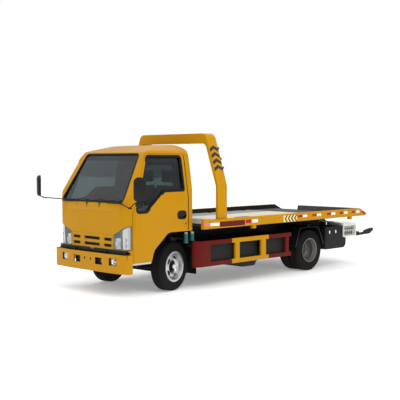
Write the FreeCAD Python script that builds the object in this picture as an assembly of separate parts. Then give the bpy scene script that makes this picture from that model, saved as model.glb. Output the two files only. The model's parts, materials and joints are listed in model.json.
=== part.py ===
# Flatbed tow truck: cab-over light truck with a sliding, tilting bed, a portal arch and a wheel-lift.
# Millimetres. X points forward, Y to the left, Z up. Everything is drawn from the front axle line
# on the ground, and save() moves it so that the origin lies on the ground under the middle.
import FreeCAD, Part
import math
import os

V = FreeCAD.Vector

# Driving dimensions of the truck
WHEELBASE = 3360.0
REAR_AXLE_X = -WHEELBASE
FRONT_AXLE_X = 2177.0
TYRE_R = 373.0
TYRE_W = 200.0
BEAD_R = 205.0
BARREL_IN_R = 191.0
BARREL_HALF_W = 104.0
WHEEL_SIDES = 28
RIM_SIDES = 20
BAR_SIDES = 12
ARC_FROM_R = 100.0
FRONT_WHEEL_Y = 700.0
TWIN_OUTER_Y = 800.0
TWIN_INNER_Y = 575.0
KINGPIN_Y = 588.0
SPINDLE_R = 28.0
HUB_SPINDLE_R = 38.0
STEER_REST_DEG = 11.0
STEER_ARM = 140.0
MOVE_GAP = 6.0
PIN_GAP = 0.3

# Chassis frame
RAIL_OUT_Y = 370.0
RAIL_FLANGE = 60.0
RAIL_T = 8.0
FRAME_TOP = 715.0
FRAME_BOTTOM = 550.0
FRAME_FRONT_X = 850.0
FRAME_FRONT_TOP = 610.0
FRAME_FRONT_BOTTOM = 480.0
FRAME_REAR_X = REAR_AXLE_X - 1240.0

# Cab
CAB_HALF_W = 850.0
CAB_REAR_X = -400.0
CAB_FRONT_X = 975.0
CAB_FLOOR_Z = 915.0
CAB_FRONT_BOTTOM_Z = 668.0
SILL_Z = 472.0
ROOF_Z = 2262.0
BELT_Z = 1400.0
WALL = 42.0
DOOR_T = 58.0
DOOR_REAR_X = -285.0
DOOR_FRONT_X = 842.0
TUNNEL_HALF_W = 300.0
GLASS_T = 6.0
CAB_PIVOT = (868.0, 628.0)
CAB_PIN_R = 9.0

# Bed and its sliding, tilting frame
BED_HALF_W = 1080.0
BED_FRONT_X = -395.0
BED_TAIL_X = REAR_AXLE_X - 1640.0
BED_SLOPE_X = BED_TAIL_X + 270.0
RAIL_W = 60.0
BED_TOP_Z = 1084.0
BED_RAIL_BOTTOM_Z = 940.0
FLOOR_TOP_Z = 1000.0
FLOOR_T = 14.0
FLOOR_FRONT_X = -745.0
TAIL_DROP = 42.0
FLOOR_SEAM_X = (-1040.0, REAR_AXLE_X - 540.0)
TILT_BOTTOM_Z = 722.0
TILT_TOP_Z = 850.0
TILT_FRONT_X = -800.0
TILT_PIVOT = (REAR_AXLE_X - 1190.0, 800.0)
TILT_PIN_R = 25.0

# Portal arch
ARCH_X = (-965.0, -745.0)
ARCH_OUT_Y = BED_HALF_W - 30.0
ARCH_T = 50.0
ARCH_KNEE_Z = 1610.0
ARCH_TOP_Y = ARCH_OUT_Y - 275.0
ARCH_TOP_Z = 2440.0
ARCH_BEAM_H = 160.0

# Lift cylinders
LIFT_Y = 180.0
LIFT_BASE = (REAR_AXLE_X + 760.0, 590.0)
LIFT_EYE = (REAR_AXLE_X - 40.0, 775.0)
LIFT_BARREL_R = 40.0
LIFT_ROD_R = 20.0
LIFT_PIN_R = 20.0
LIFT_PLAY = 21.5
LIFT_PLAY_DEG = 25.0

# Wheel-lift
BOOM_PIVOT = (REAR_AXLE_X - 490.0, 600.0)
BOOM_W = 120.0
BOOM_H = 110.0
BOOM_REAR_X = REAR_AXLE_X - 1290.0
BOOM_WALL = 10.0
SLIDE_GAP = 0.5
FORK_Y = 870.0
CROSSBAR_X = REAR_AXLE_X - 1580.0


def box(x, y, z):
    # x, y and z are pairs of limits
    x0, x1 = sorted(x)
    y0, y1 = sorted(y)
    z0, z1 = sorted(z)
    return Part.makeBox(x1 - x0, y1 - y0, z1 - z0, V(x0, y0, z0))


def cylinder(base, axis, radius, length):
    return Part.makeCylinder(radius, length, V(*base), V(*axis))


def bar(base, axis, radius, length, sides=BAR_SIDES):
    # A round bar in flat steps, with its corners on the radius
    turns = [2 * math.pi * i / sides for i in range(sides)]
    corners = [V(radius * math.cos(t), radius * math.sin(t), 0) for t in turns]
    solid = Part.Face(Part.makePolygon(corners + corners[:1])).extrude(V(0, 0, length))
    solid.Placement = FreeCAD.Placement(V(*base), FreeCAD.Rotation(V(0, 0, 1), V(*axis)))
    return solid


def bore(base, axis, radius, length, sides=BAR_SIDES):
    # A hole in flat steps, with its flats on the radius
    return bar(base, axis, radius / math.cos(math.pi / sides), length, sides)


def path_bar(points, radius, sides=6):
    # A bent bar in straight lengths that run a little past each corner
    path = [V(*p) for p in points]
    pieces = []
    for i in range(len(path) - 1):
        along = (path[i + 1] - path[i]).normalize()
        start = path[i] - along * (radius * 0.4 if i else 0)
        finish = path[i + 1] + along * (radius * 0.4 if i < len(path) - 2 else 0)
        pieces.append(bar(tuple(start), tuple(along), radius, (finish - start).Length, sides))
    return fuse(pieces)


def fuse(shapes):
    whole = shapes[0]
    if len(shapes) > 1:
        whole = whole.fuse(shapes[1:])
    return whole.removeSplitter()


def group(shapes):
    return Part.Compound(shapes)


def mirrored(shape):
    return shape.mirror(V(0, 0, 0), V(0, 1, 0))


def both_sides(shape):
    return [shape, mirrored(shape)]


def turned(shape, centre, axis, degrees):
    copy = shape.copy()
    copy.rotate(V(*centre), V(*axis), degrees)
    return copy


def place_on(plane, at):
    # Gives the 3-D point of a flat outline's (u, v) on the plane across axis "x", "y" or "z"
    if plane == "x":
        return lambda p: V(at, p.x, p.y)
    if plane == "y":
        return lambda p: V(p.x, at, p.y)
    return lambda p: V(p.x, p.y, at)


def corner_points(before, here, after, radius):
    # Start, middle and end of a corner's arc, with more points between them where it is drawn in straight steps
    to_before = (before - here).normalize()
    to_after = (after - here).normalize()
    half = to_before.getAngle(to_after) / 2
    reach = radius / math.tan(half)
    inward = (to_before + to_after).normalize()
    centre = here + inward * (radius / math.sin(half))
    start, finish = here + to_before * reach, here + to_after * reach
    if radius >= ARC_FROM_R:
        return [start, centre - inward * radius, finish]
    turn = math.pi - 2 * half
    steps = max(1, round(turn / math.radians(45 if radius < 40 else 30)))
    points = [start]
    for i in range(1, steps):
        share = i / steps
        spoke = (start - centre) * (1 - share) + (finish - centre) * share
        points.append(centre + spoke.normalize() * radius)
    return points + [finish]


def outline(corners, plane, at, closed=True):
    # corners are (u, v) or (u, v, radius), and a corner with a radius is rounded, by an arc where it is large
    put = place_on(plane, at)
    flat = [V(c[0], c[1], 0) for c in corners]
    count = len(corners)
    turns = []
    for i, corner in enumerate(corners):
        inner = closed or 0 < i < count - 1
        if len(corner) > 2 and corner[2] and inner:
            points = corner_points(flat[i - 1], flat[i], flat[(i + 1) % count], corner[2])
            turns.append((points, corner[2] >= ARC_FROM_R))
        else:
            turns.append(([flat[i]], False))
    edges = []
    for i, (points, curved) in enumerate(turns):
        if curved:
            edges.append(Part.Arc(*[put(p) for p in points]).toShape())
        else:
            edges.extend(Part.makeLine(put(p), put(q)) for p, q in zip(points, points[1:]))
        if closed or i < count - 1:
            following = turns[(i + 1) % count][0][0]
            if (following - points[-1]).Length > 1e-6:
                edges.append(Part.makeLine(put(points[-1]), put(following)))
    return Part.Wire(edges)


def prism(corners, plane, limits):
    low, high = sorted(limits)
    direction = {"x": V(1, 0, 0), "y": V(0, 1, 0), "z": V(0, 0, 1)}[plane]
    face = Part.Face(outline(corners, plane, low))
    return face.extrude(direction * (high - low))


def mirrored_corners(corners):
    # Closes a left half outline (y first) with its mirror image
    other = [(-c[0],) + tuple(c[1:]) for c in reversed(corners)]
    return list(corners) + other


def lathe_y(corners, centre, sides=WHEEL_SIDES):
    # corners are (y, radius), turned about the Y axis through centre in flat steps, one corner straight down
    turns = [2 * math.pi * i / sides for i in range(sides + 1)]
    rings = [[V(radius * math.cos(t), y, radius * math.sin(t)) for t in turns] for y, radius in corners]
    faces = []
    for a, b in zip(rings, rings[1:] + rings[:1]):
        for i in range(sides):
            faces.append(Part.Face(Part.makePolygon([a[i], a[i + 1], b[i + 1], b[i], a[i]])))
    solid = Part.Solid(Part.Shell(faces)).removeSplitter()
    if solid.Volume < 0:
        solid.reverse()
    solid.translate(V(*centre))
    return solid


def save(name, shape):
    moved = shape.copy()
    moved.translate(V(FRONT_AXLE_X, 0, 0))
    moved.exportStep(os.path.join("parts", name + ".step"))


# Chassis frame

def rail_side(inset, past):
    # Side view of a chassis rail with its lower front end
    top, low = FRAME_TOP - inset, FRAME_BOTTOM + inset
    front_top, front_low = FRAME_FRONT_TOP - inset, FRAME_FRONT_BOTTOM + inset
    return [(FRAME_FRONT_X + past, front_low), (FRAME_FRONT_X + past, front_top), (400, front_top, 120),
            (150, top, 120), (FRAME_REAR_X - past, top), (FRAME_REAR_X - past, low), (80, low, 120),
            (380, front_low, 120)]


def chassis_rail():
    whole = prism(rail_side(0, 0), "y", (RAIL_OUT_Y - RAIL_FLANGE, RAIL_OUT_Y))
    return whole.cut(prism(rail_side(RAIL_T, 1), "y", (RAIL_OUT_Y - RAIL_FLANGE - 1, RAIL_OUT_Y - RAIL_T)))


def crossmember(x, low, high):
    return box((x - 40, x + 40), (-RAIL_OUT_Y + RAIL_T, RAIL_OUT_Y - RAIL_T), (low, high))


def pivot_lug():
    # The upright plate beside a rail's rear end that carries the tilt pin
    x, z = TILT_PIVOT
    y = (RAIL_OUT_Y, RAIL_OUT_Y + 24)
    plate = prism([(x + 90, FRAME_BOTTOM + 20), (x + 38, z), (x - 38, z), (x - 48, FRAME_BOTTOM + 20)],
                  "y", y)
    eye = bar((x, y[0], z), (0, 1, 0), 38, 24)
    return plate.fuse(eye)


def outrigger(x, reach):
    return box((x - 20, x + 20), (RAIL_OUT_Y, reach), (FRAME_TOP - 20, FRAME_TOP + 20))


def carrier(x, reach, low, high):
    return box((x - 25, x + 25), (RAIL_OUT_Y, reach), (low, high))


def frame():
    pieces = both_sides(chassis_rail())
    pieces.append(crossmember(800, 490, 600))
    for x in (0.372 * REAR_AXLE_X, 0.61 * REAR_AXLE_X):
        pieces.append(crossmember(x, FRAME_TOP - 60, FRAME_TOP - RAIL_T))
    bx, bz = LIFT_BASE
    pieces.append(cylinder((bx, -RAIL_OUT_Y + RAIL_T, bz), (0, 1, 0), 24, 2 * (RAIL_OUT_Y - RAIL_T)))
    ux, uz = BOOM_PIVOT
    pieces.append(cylinder((ux, -RAIL_OUT_Y + RAIL_T, uz), (0, 1, 0), 22, 2 * (RAIL_OUT_Y - RAIL_T)))
    px, pz = TILT_PIVOT
    pieces.append(cylinder((px, -RAIL_OUT_Y - 24, pz), (0, 1, 0), TILT_PIN_R, 2 * (RAIL_OUT_Y + 24)))
    for side in (1, -1):
        side_pieces = [pivot_lug()]
        side_pieces.append(box((-370, -310), (RAIL_OUT_Y - 56, RAIL_OUT_Y), (FRAME_TOP, CAB_FLOOR_Z - 0.5)))
        for share in GUARD_STAYS:
            side_pieces.append(outrigger(guard_x(share), GUARD_OUT_Y - GUARD_T))
        for share in (0.24, 0.555, 0.835):
            side_pieces.append(carrier(guard_x(share), SIDE_BOX_IN_Y, 600, 660))
        side_pieces.append(carrier(REAR_AXLE_X - 590, REAR_BOX_IN_Y, 600, 690))
        side_pieces.append(carrier(REAR_AXLE_X - 1140, CONTROL_IN_Y, 600, 690))
        side_pieces.append(carrier(REAR_AXLE_X + 50, RAIL_OUT_Y + 25, 600, FENDER_TOP_Z + 30))
        side_pieces.append(box((REAR_AXLE_X + 25, REAR_AXLE_X + 75), (RAIL_OUT_Y, FENDER_OUT_Y - 20),
                               (FENDER_TOP_Z, FENDER_TOP_Z + 30)))
        side_pieces.append(carrier(FLAP_X + 30, 560, 600, 640))
        side_pieces.append(box((FLAP_X, FLAP_X + 55), (RAIL_OUT_Y, 850), (640, 670)))
        side_pieces.append(cab_hinge_lug())
        side_pieces.append(hanger(FRONT_SPRING["half"], FRONT_SPRING, FRAME_FRONT_BOTTOM))
        side_pieces.append(hanger(-FRONT_SPRING["half"], FRONT_SPRING, FRAME_BOTTOM))
        for x in spring_eyes(REAR_SPRING):
            side_pieces.append(hanger(x, REAR_SPRING, FRAME_BOTTOM))
        for piece in side_pieces:
            pieces.append(piece if side == 1 else mirrored(piece))
    return fuse(pieces)


def cab_hinge_lug():
    x, z = CAB_PIVOT
    plate = prism([(x - 30, 560), (x - 18, z), (x + 18, z), (x + 30, 560)], "y",
                  (RAIL_OUT_Y, RAIL_OUT_Y + 14))
    eye = bar((x, RAIL_OUT_Y, z), (0, 1, 0), 18, 14)
    return plate.fuse(eye).cut(bore((x, RAIL_OUT_Y - 1, z), (0, 1, 0), CAB_PIN_R + PIN_GAP, 16, 8))


# Side boxes, guards, fenders
GUARD_OUT_Y = BED_HALF_W - 80.0
GUARD_T = 40.0
GUARD_STAYS = (0.074, 0.4, 0.682, 0.953)
GUARD_FRONT_X = -330.0
GUARD_REAR_X = REAR_AXLE_X + 670.0
GUARD_TOP_Z = 745.0
GUARD_BOTTOM_Z = 340.0
GUARD_WINDOWS = ((0.129, 0.378), (0.422, 0.656), (0.707, 0.934), (0.972, 1.001))
GUARD_BAR = 70.0
SIDE_BOX_IN_Y = 430.0
SIDE_BOX_OUT_Y = GUARD_OUT_Y - 65.0
SIDE_BOX_X = ((0.114, 0.428), (0.691, 0.979))
FUEL_TANK_X = (0.131, 0.496)
OIL_TANK_X = (0.458, 0.657)
REAR_BOX_IN_Y = 500.0
FENDER_TOP_Z = 800.0
FENDER_IN_Y = 470.0
FENDER_OUT_Y = TWIN_OUTER_Y + 130.0
FENDER_T = 8.0
FLAP_X = -458.0
CONTROL_IN_Y = 560.0
CONTROL_OUT_Y = BED_HALF_W - 130.0
CONTROL_X = (REAR_AXLE_X - 1440.0, REAR_AXLE_X - 1010.0)
CONTROL_Z = (540.0, 776.0)


def guard_x(share):
    # A place along the side guard, from 0 at its front to 1 at its rear
    return GUARD_FRONT_X + share * (GUARD_REAR_X - GUARD_FRONT_X)


def side_guard():
    front_y = GUARD_OUT_Y - 120
    plan = [(GUARD_REAR_X, GUARD_OUT_Y), (GUARD_FRONT_X, GUARD_OUT_Y, 110), (GUARD_FRONT_X, front_y),
            (GUARD_FRONT_X - GUARD_T, front_y), (GUARD_FRONT_X - GUARD_T, GUARD_OUT_Y - GUARD_T, 70),
            (GUARD_REAR_X, GUARD_OUT_Y - GUARD_T)]
    panel = prism(plan, "z", (GUARD_BOTTOM_Z, GUARD_TOP_Z))
    windows = []
    for front, rear in GUARD_WINDOWS:
        windows.append(box((guard_x(rear), guard_x(front)), (GUARD_OUT_Y - 150, GUARD_OUT_Y + 100),
                           (GUARD_BOTTOM_Z + GUARD_BAR, GUARD_TOP_Z - GUARD_BAR)))
    return panel.cut(Part.Compound(windows))


def rounded_box(x, y, z, radius):
    x0, x1 = sorted(x)
    return prism([(x0, z[0], radius), (x1, z[0], radius), (x1, z[1], radius), (x0, z[1], radius)], "y", y)


def oil_tank():
    front, rear = [guard_x(share) for share in OIL_TANK_X]
    side = [(rear + 65, 240), (front - 100, 240), (front, 345), (front, 690), (rear, 690), (rear, 345)]
    return prism(side, "y", (SIDE_BOX_IN_Y, SIDE_BOX_OUT_Y - 35))


def rear_box():
    front, rear = REAR_AXLE_X - 440, CONTROL_X[1]
    side = [(front, 345, 30), (rear - 110, 345, 95), (rear - 110, CONTROL_Z[0] - 5), (rear, CONTROL_Z[0] - 5),
            (rear, 760), (front, 760, 30)]
    return prism(side, "y", (REAR_BOX_IN_Y, FENDER_OUT_Y))


def side_boxes():
    pieces = []
    for front, rear in SIDE_BOX_X:
        long = (guard_x(rear), guard_x(front))
        pieces.append(rounded_box(long, (SIDE_BOX_IN_Y, SIDE_BOX_OUT_Y), (400, 690), 25))
    pieces.append(mirrored(pieces[1]))
    pieces.append(oil_tank())
    pieces.extend(both_sides(rear_box()))
    return group(pieces)


def fuel_tank():
    front, rear = [guard_x(share) for share in FUEL_TANK_X]
    return mirrored(rounded_box((rear, front), (SIDE_BOX_IN_Y, SIDE_BOX_OUT_Y), (360, 690), 70))


def exhaust():
    muffler = bar((-1280, -255, 470), (-1, 0, 0), 80, 560)
    inlet = bar((-1000, -255, 470), (-1, 0, 0), 28, 281, 8)
    outlet = path_bar([(-1839, -255, 470), (-2050, -255, 470), (-2300, -200, 470), (-2500, -200, 440)], 28)
    hangers = [box((x - 15, x + 15), (-345, -250), (530, FRAME_BOTTOM - PIN_GAP)) for x in (-1385, -1715)]
    return fuse([muffler, inlet, outlet] + hangers)


def fender():
    front, rear = REAR_AXLE_X + 460, REAR_AXLE_X - 410
    outer = [(front, 467), (front - 130, FENDER_TOP_Z, 90), (rear + 180, FENDER_TOP_Z, 90), (rear, 467)]
    band = prism(outer, "y", (FENDER_IN_Y, FENDER_OUT_Y))
    inner = [(front - FENDER_T, 400), (front - 130 - FENDER_T, FENDER_TOP_Z - FENDER_T, 84),
             (rear + 180 + FENDER_T, FENDER_TOP_Z - FENDER_T, 84), (rear + FENDER_T, 400)]
    arch = prism(inner, "y", (FENDER_IN_Y - 1, FENDER_OUT_Y + 1))
    return band.cut(arch)


def mudguards():
    flap = box((FLAP_X - 8, FLAP_X), (560, 850), (220, 670))
    return group(both_sides(fender()) + both_sides(flap))


def control_box():
    x, z = CONTROL_X, CONTROL_Z
    case = rounded_box(x, (CONTROL_IN_Y, CONTROL_OUT_Y), z, 22)
    recess = rounded_box((x[0] + 22, x[1] - 22), (CONTROL_OUT_Y - 70, CONTROL_OUT_Y + 1),
                         (z[0] + 24, z[1] - 24), 12)
    front = REAR_AXLE_X - 710
    cover = [(front, 862), (front, 848), (x[1], z[1] + 30), (x[1], z[1] - 5), (x[0], z[1] - 5),
             (x[0], z[1] + 24)]
    plate = prism(cover, "y", (CONTROL_IN_Y, CONTROL_OUT_Y))
    return fuse([case.cut(recess), plate])


def control_boxes():
    return group(both_sides(control_box()))


def chassis_lamps():
    pieces = []
    for side in (1, -1):
        tail = box((CONTROL_X[0] - 26, CONTROL_X[0]), (620, 900), (600, 700))
        lens = box((BUMPER_FRONT_X - 62, BUMPER_FRONT_X - 24), (505, 645), (466, 566))
        pieces.extend([tail if side == 1 else mirrored(tail), lens if side == 1 else mirrored(lens)])
    return group(pieces)


# Bumper
BUMPER_FRONT_X = 1020.0
BUMPER_HALF_W = CAB_HALF_W + 30.0
BUMPER_Z = (350.0, 630.0)
BUMPER_T = 18.0


def bumper_solid(inset, z):
    reach = BUMPER_FRONT_X - inset
    half = BUMPER_HALF_W - inset
    plan = mirrored_corners([(half, 880), (half, 952, 40), (half - 40, reach - 32, 60), (450, reach, 900)])
    return prism([(c[1], c[0]) + tuple(c[2:]) for c in plan], "z", z)


def bumper():
    outer = bumper_solid(0, BUMPER_Z)
    hollow = bumper_solid(BUMPER_T, (BUMPER_Z[0] + 14, BUMPER_Z[1] - 12))
    inner_y = BUMPER_HALF_W - BUMPER_T
    back = box((800, 940), (-inner_y, inner_y), (BUMPER_Z[0] - 1, BUMPER_Z[1] + 1))
    swing = box((800, 974), (-inner_y, inner_y), (BUMPER_Z[1] - 70, BUMPER_Z[1] + 1))
    shell = outer.cut(hollow).cut(back).cut(swing)
    holes = []
    for y in (180, -340):
        holes.append(box((900, 1100), (y, y + 160), (458, 560)))
    for y in (-85, 62):
        holes.append(box((900, 1100), (y, y + 22), (510, 550)))
    for side in (1, -1):
        holes.append(box((900, 1100), (side * 500, side * 650), (461, 571)))
    shell = shell.cut(Part.Compound(holes))
    stays = []
    for side in (1, -1):
        stays.append(box((FRAME_FRONT_X, 1010), (side * 312, side * 335), (495, 545)))
        stays.append(box((FRAME_FRONT_X, 870), (side * 312, side * 700), (495, 545)))
        stays.append(box((FRAME_FRONT_X, 990), (side * 655, side * 680), (495, 545)))
        stays.append(box((950, 990), (side * 470, side * 680), (440, 466 - PIN_GAP)))
        stays.append(box((950, 990), (side * 655, side * 680), (440, 500)))
    return fuse([shell] + stays)


# Driveline, axles and springs

def engine():
    block = box((-480, 330), (-225, 225), (420, 880))
    sump = box((-380, 230), (-150, 150), (352, 420))
    gearbox = box((-1060, -480), (-150, 150), (430, 720))
    feet_z = (FRAME_BOTTOM + RAIL_T + PIN_GAP, 600)
    feet = [box((-60, 0), (-350, 350), feet_z), box((-900, -860), (-350, 350), feet_z)]
    return fuse([block, sump, gearbox] + feet)


def propeller_shaft():
    start = V(-1063.6, 0, 560)
    end = V(REAR_AXLE_X + 190.8 + 3, 0, TYRE_R + 4)
    return bar(tuple(start), tuple(end - start), 38, (end - start).Length, 12)


def radiator():
    core = box((430, 500), (-262, 262), (500, 850))
    stand = []
    for side in (1, -1):
        stand.append(box((440, 490), (side * 262, side * 318), (FRAME_FRONT_TOP + PIN_GAP, 640)))
    return fuse([core] + stand)


def front_axle():
    drop = 300.0
    side = [(0, drop - 36), (400, drop - 36, 80), (540, 338, 60), (KINGPIN_Y, 338),
            (KINGPIN_Y, 408), (530, 408, 60), (400, drop + 30, 80), (0, drop + 30)]
    half = prism(side, "x", (-34, 34))
    groove_front = prism([(c[0], c[1]) for c in
                          [(0, drop - 20), (390, drop - 20), (530, 352), (530, 394), (390, drop + 14),
                           (0, drop + 14)]], "x", (10, 40))
    groove_rear = groove_front.copy()
    groove_rear.translate(V(-50, 0, 0))
    half = half.cut(groove_front).cut(groove_rear)
    boss = bar((0, KINGPIN_Y, 333), (0, 0, 1), 36, 80, 12)
    hole = cylinder((0, KINGPIN_Y, 300), (0, 0, 1), 14 + PIN_GAP, 150)
    half = half.fuse(boss).cut(hole)
    return fuse(both_sides(half))


FRONT_SPRING = {"x": 0.0, "y": 340.0, "seat": 330.3, "half": 540.0, "eye_z": 445.0, "leaves": 3, "leaf_t": 20.0}
REAR_SPRING = {"x": REAR_AXLE_X, "y": 402.0, "seat": TYRE_R + 46.3, "half": 600.0, "eye_z": 515.0, "leaves": 4,
               "leaf_t": 20.0}
LEAF_W = 60.0
SPRING_EYE_R = 22.0
SPRING_PIN_R = 10.0
HANGER_T = 7.0


def leaf_outline(spring):
    # Side view of a stack of curved leaves, stepped where each lower leaf ends
    count, half = spring["leaves"], spring["half"]
    rise = spring["eye_z"] - spring["seat"] - count * spring["leaf_t"]

    def height(reach, index):
        return spring["seat"] + index * spring["leaf_t"] + rise * (reach / half) ** 2

    reaches = [half * (0.42 + 0.58 * (index + 1) / count) for index in range(count)]
    side = []
    for index, reach in enumerate(reaches):
        side.append((reach, height(reach, index)))
        if index + 1 < count:
            side.append((reach, height(reach, index + 1)))
    side += [(reach, height(reach, count)) for reach in reversed(reaches)]
    corners = side + [(0, height(0, count))] + [(-x, z) for x, z in reversed(side)] + [(0, height(0, 0))]
    return [(spring["x"] + x, z) for x, z in corners]


def spring_eyes(spring):
    return [spring["x"] + spring["half"], spring["x"] - spring["half"]]


def leaf_pack(spring):
    pieces = [prism(leaf_outline(spring), "y", (spring["y"] - LEAF_W / 2, spring["y"] + LEAF_W / 2))]
    bores = []
    for x in spring_eyes(spring):
        at = (x, spring["y"] - LEAF_W / 2, spring["eye_z"])
        pieces.append(bar(at, (0, 1, 0), SPRING_EYE_R, LEAF_W, 10))
        bores.append(bar(at, (0, 1, 0), SPRING_PIN_R + PIN_GAP, LEAF_W, 8))
    return fuse(pieces).cut(Part.Compound(bores))


def hanger(x, spring, under):
    # The bracket under a rail that holds a spring's eye between two cheeks
    y, z = spring["y"], spring["eye_z"]
    reach = LEAF_W / 2 + 1
    cap = box((x - 30, x + 30), (min(y - reach - HANGER_T, RAIL_OUT_Y - 50), y + reach + HANGER_T),
              (under - 12, under))
    cheek = [(x - 14, z - 18), (x + 14, z - 18), (x + 30, under - 6), (x - 30, under - 6)]
    pieces = [cap, bar((x, y - reach, z), (0, 1, 0), SPRING_PIN_R, 2 * reach, 8)]
    pieces.append(prism(cheek, "y", (y + reach, y + reach + HANGER_T)))
    return fuse(pieces)


def leaf_springs():
    return group(both_sides(leaf_pack(FRONT_SPRING)) + both_sides(leaf_pack(REAR_SPRING)))


def rear_axle():
    # Banjo housing: tube, round case with its cover behind and its nose to the shaft in front
    x, z = REAR_AXLE_X, TYRE_R
    pieces = [bar((x, -536, z), (0, 1, 0), 46, 1072, 12)]
    pieces.append(bar((x - 60, 0, z), (1, 0, 0), 165, 120))
    pieces.append(bar((x - 105, 0, z), (1, 0, 0), 125, 45))
    pieces.append(bar((x + 60, 0, z), (1, 0, 0), 110, 60, 12))
    pieces.append(bar((x + 120, 0, z), (1, 0, 0), 66, 70, 12))
    for side in (1, -1):
        pieces.append(bar((x, side * 526, z), (0, side, 0), 150, 10))
        pieces.append(bar((x, side * 536, z), (0, side, 0), HUB_SPINDLE_R, 200))
        pieces.append(box((x - 60, x + 60), (side * 368, side * 436), (z, z + 46)))
        for ux in (x - 45, x + 45):
            for uy in (side * 362, side * 442):
                pieces.append(bar((ux, uy, z - 20), (0, 0, 1), 9, 160, 4))
            pieces.append(box((ux - 8, ux + 8), (side * 354, side * 450), (z + 128, z + 140)))
    return fuse(pieces)


# Steering knuckles and wheels

def knuckle_left():
    y = KINGPIN_Y
    upper = bar((0, y, 414), (0, 0, 1), 34, 32, 12)
    lower = bar((0, y, 300), (0, 0, 1), 34, 32, 12)
    pin = bar((0, y, 296), (0, 0, 1), 14, 154)
    web = box((-30, 30), (y + 37, y + 62), (300, 446))
    ears = box((-30, 30), (y, y + 62), (414, 446)).fuse(box((-30, 30), (y, y + 62), (300, 332)))
    plate = bar((0, y + 62, TYRE_R), (0, 1, 0), 145, 6)
    spindle = bar((0, y + 62, TYRE_R), (0, 1, 0), SPINDLE_R, 104)
    arm = box((-STEER_ARM - 15, 0), (y - 18, y + 18), (300, 320))
    ball = bar((-STEER_ARM, y, 262), (0, 0, 1), 8, 40, 8)
    return fuse([upper, lower, pin, web, ears, plate, spindle, arm, ball])


def steer_left(shape):
    return turned(shape, (0, KINGPIN_Y, 0), (0, 0, 1), STEER_REST_DEG)


def steer_right(shape):
    return turned(shape, (0, -KINGPIN_Y, 0), (0, 0, 1), STEER_REST_DEG)


def tie_rod():
    rest = math.radians(STEER_REST_DEG)
    back = -STEER_ARM * math.cos(rest)
    aside = -STEER_ARM * math.sin(rest)
    z = 268
    pieces = [bar((back, -KINGPIN_Y + aside, z + 14), (0, 1, 0), 13, 2 * KINGPIN_Y, 8)]
    bores = []
    for side in (1, -1):
        pieces.append(bar((back, side * KINGPIN_Y + aside, z + 3), (0, 0, 1), 20, 28.7, 12))
        bores.append(bore((back, side * KINGPIN_Y + aside, z - 10), (0, 0, 1), 8 + PIN_GAP, 60, 8))
    return fuse(pieces).cut(Part.Compound(bores))


def tyre(y):
    half = TYRE_W / 2
    ring = lathe_y([(-half, 120), (-half, TYRE_R - 24), (18 - half, TYRE_R), (half - 18, TYRE_R),
                    (half, TYRE_R - 24), (half, 120)], (0, y, TYRE_R))
    return ring.cut(bar((0, y - half - 1, TYRE_R), (0, 1, 0), BEAD_R, TYRE_W + 2, RIM_SIDES))


def hand_holes(count, pitch_r, across, along, y, depth, phase=0.0):
    # Long holes with cut corners round a wheel disc
    half = [(-across, 0), (-across / 2, -along), (across / 2, -along)]
    corners = [(pitch_r + u, v) for u, v in half + [(-u, -v) for u, v in half]]
    slot = prism(corners, "y", (y, y + depth))
    return [turned(slot, (0, 0, 0), (0, 1, 0), 360.0 * i / count + phase) for i in range(count)]


def front_rim(y):
    # Barrel and disc in one: the disc bulges outward to a ring and falls back to the hub face
    wide, deep = BARREL_HALF_W, BARREL_IN_R
    rim = lathe_y([(-wide, BEAD_R), (wide, BEAD_R), (wide, deep), (44, deep), (84, 140), (84, 118), (58, 84),
                   (58, 20), (46, 20), (30, deep), (-wide, deep)], (0, 0, 0), RIM_SIDES)
    rim = rim.cut(Part.Compound(hand_holes(5, 134, 16, 28, 40, 80, 54)))
    drum = bar((0, -28, 0), (0, 1, 0), 150, 38)
    hub = fuse([bar((0, 9, 0), (0, 1, 0), 48, 74), bar((0, 82, 0), (0, 1, 0), 28, 25, 8)])
    hole = cylinder((0, -31, 0), (0, 1, 0), SPINDLE_R + PIN_GAP, 86)
    whole = fuse([rim, drum, hub]).cut(hole)
    whole.translate(V(0, y, TYRE_R))
    return whole


def rear_rims():
    # Two barrels back to back, with dished discs that meet between them
    meet = (TWIN_OUTER_Y + TWIN_INNER_Y) / 2
    apart = (TWIN_OUTER_Y - TWIN_INNER_Y) / 2
    wide, deep = BARREL_HALF_W, BARREL_IN_R
    half = [(apart - wide, deep), (apart - wide, BEAD_R), (apart + wide, BEAD_R), (apart + wide, deep),
            (76, deep), (12, 150)]
    outer = [(meet + h, radius) for h, radius in half] + [(meet + 12, 20)]
    inner = [(2 * meet - h, radius) for h, radius in reversed(outer)]
    rims = lathe_y(outer + inner, (0, 0, 0), RIM_SIDES)
    rims = rims.cut(Part.Compound(hand_holes(6, 120, 15, 26, meet - 60, 120, 30)))
    hub = fuse([bar((0, meet, 0), (0, 1, 0), 88, 30), bar((0, meet, 0), (0, 1, 0), 56, 106, 12)])
    drum = bar((0, 540, 0), (0, 1, 0), 158, meet - 11 - 540)
    hole = cylinder((0, 520, 0), (0, 1, 0), HUB_SPINDLE_R + PIN_GAP, 222)
    whole = fuse([rims, hub, drum]).cut(hole)
    whole.translate(V(REAR_AXLE_X, 0, TYRE_R))
    return whole


def rear_tyres():
    pair = []
    for y in (TWIN_INNER_Y, TWIN_OUTER_Y):
        one = tyre(y)
        one.translate(V(REAR_AXLE_X, 0, 0))
        pair.append(one)
    return group(pair)


# Cab

def eased(radius, inset):
    # Only the outside and the glass carry the small corner rounds
    return radius if inset < WALL else 0


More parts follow.
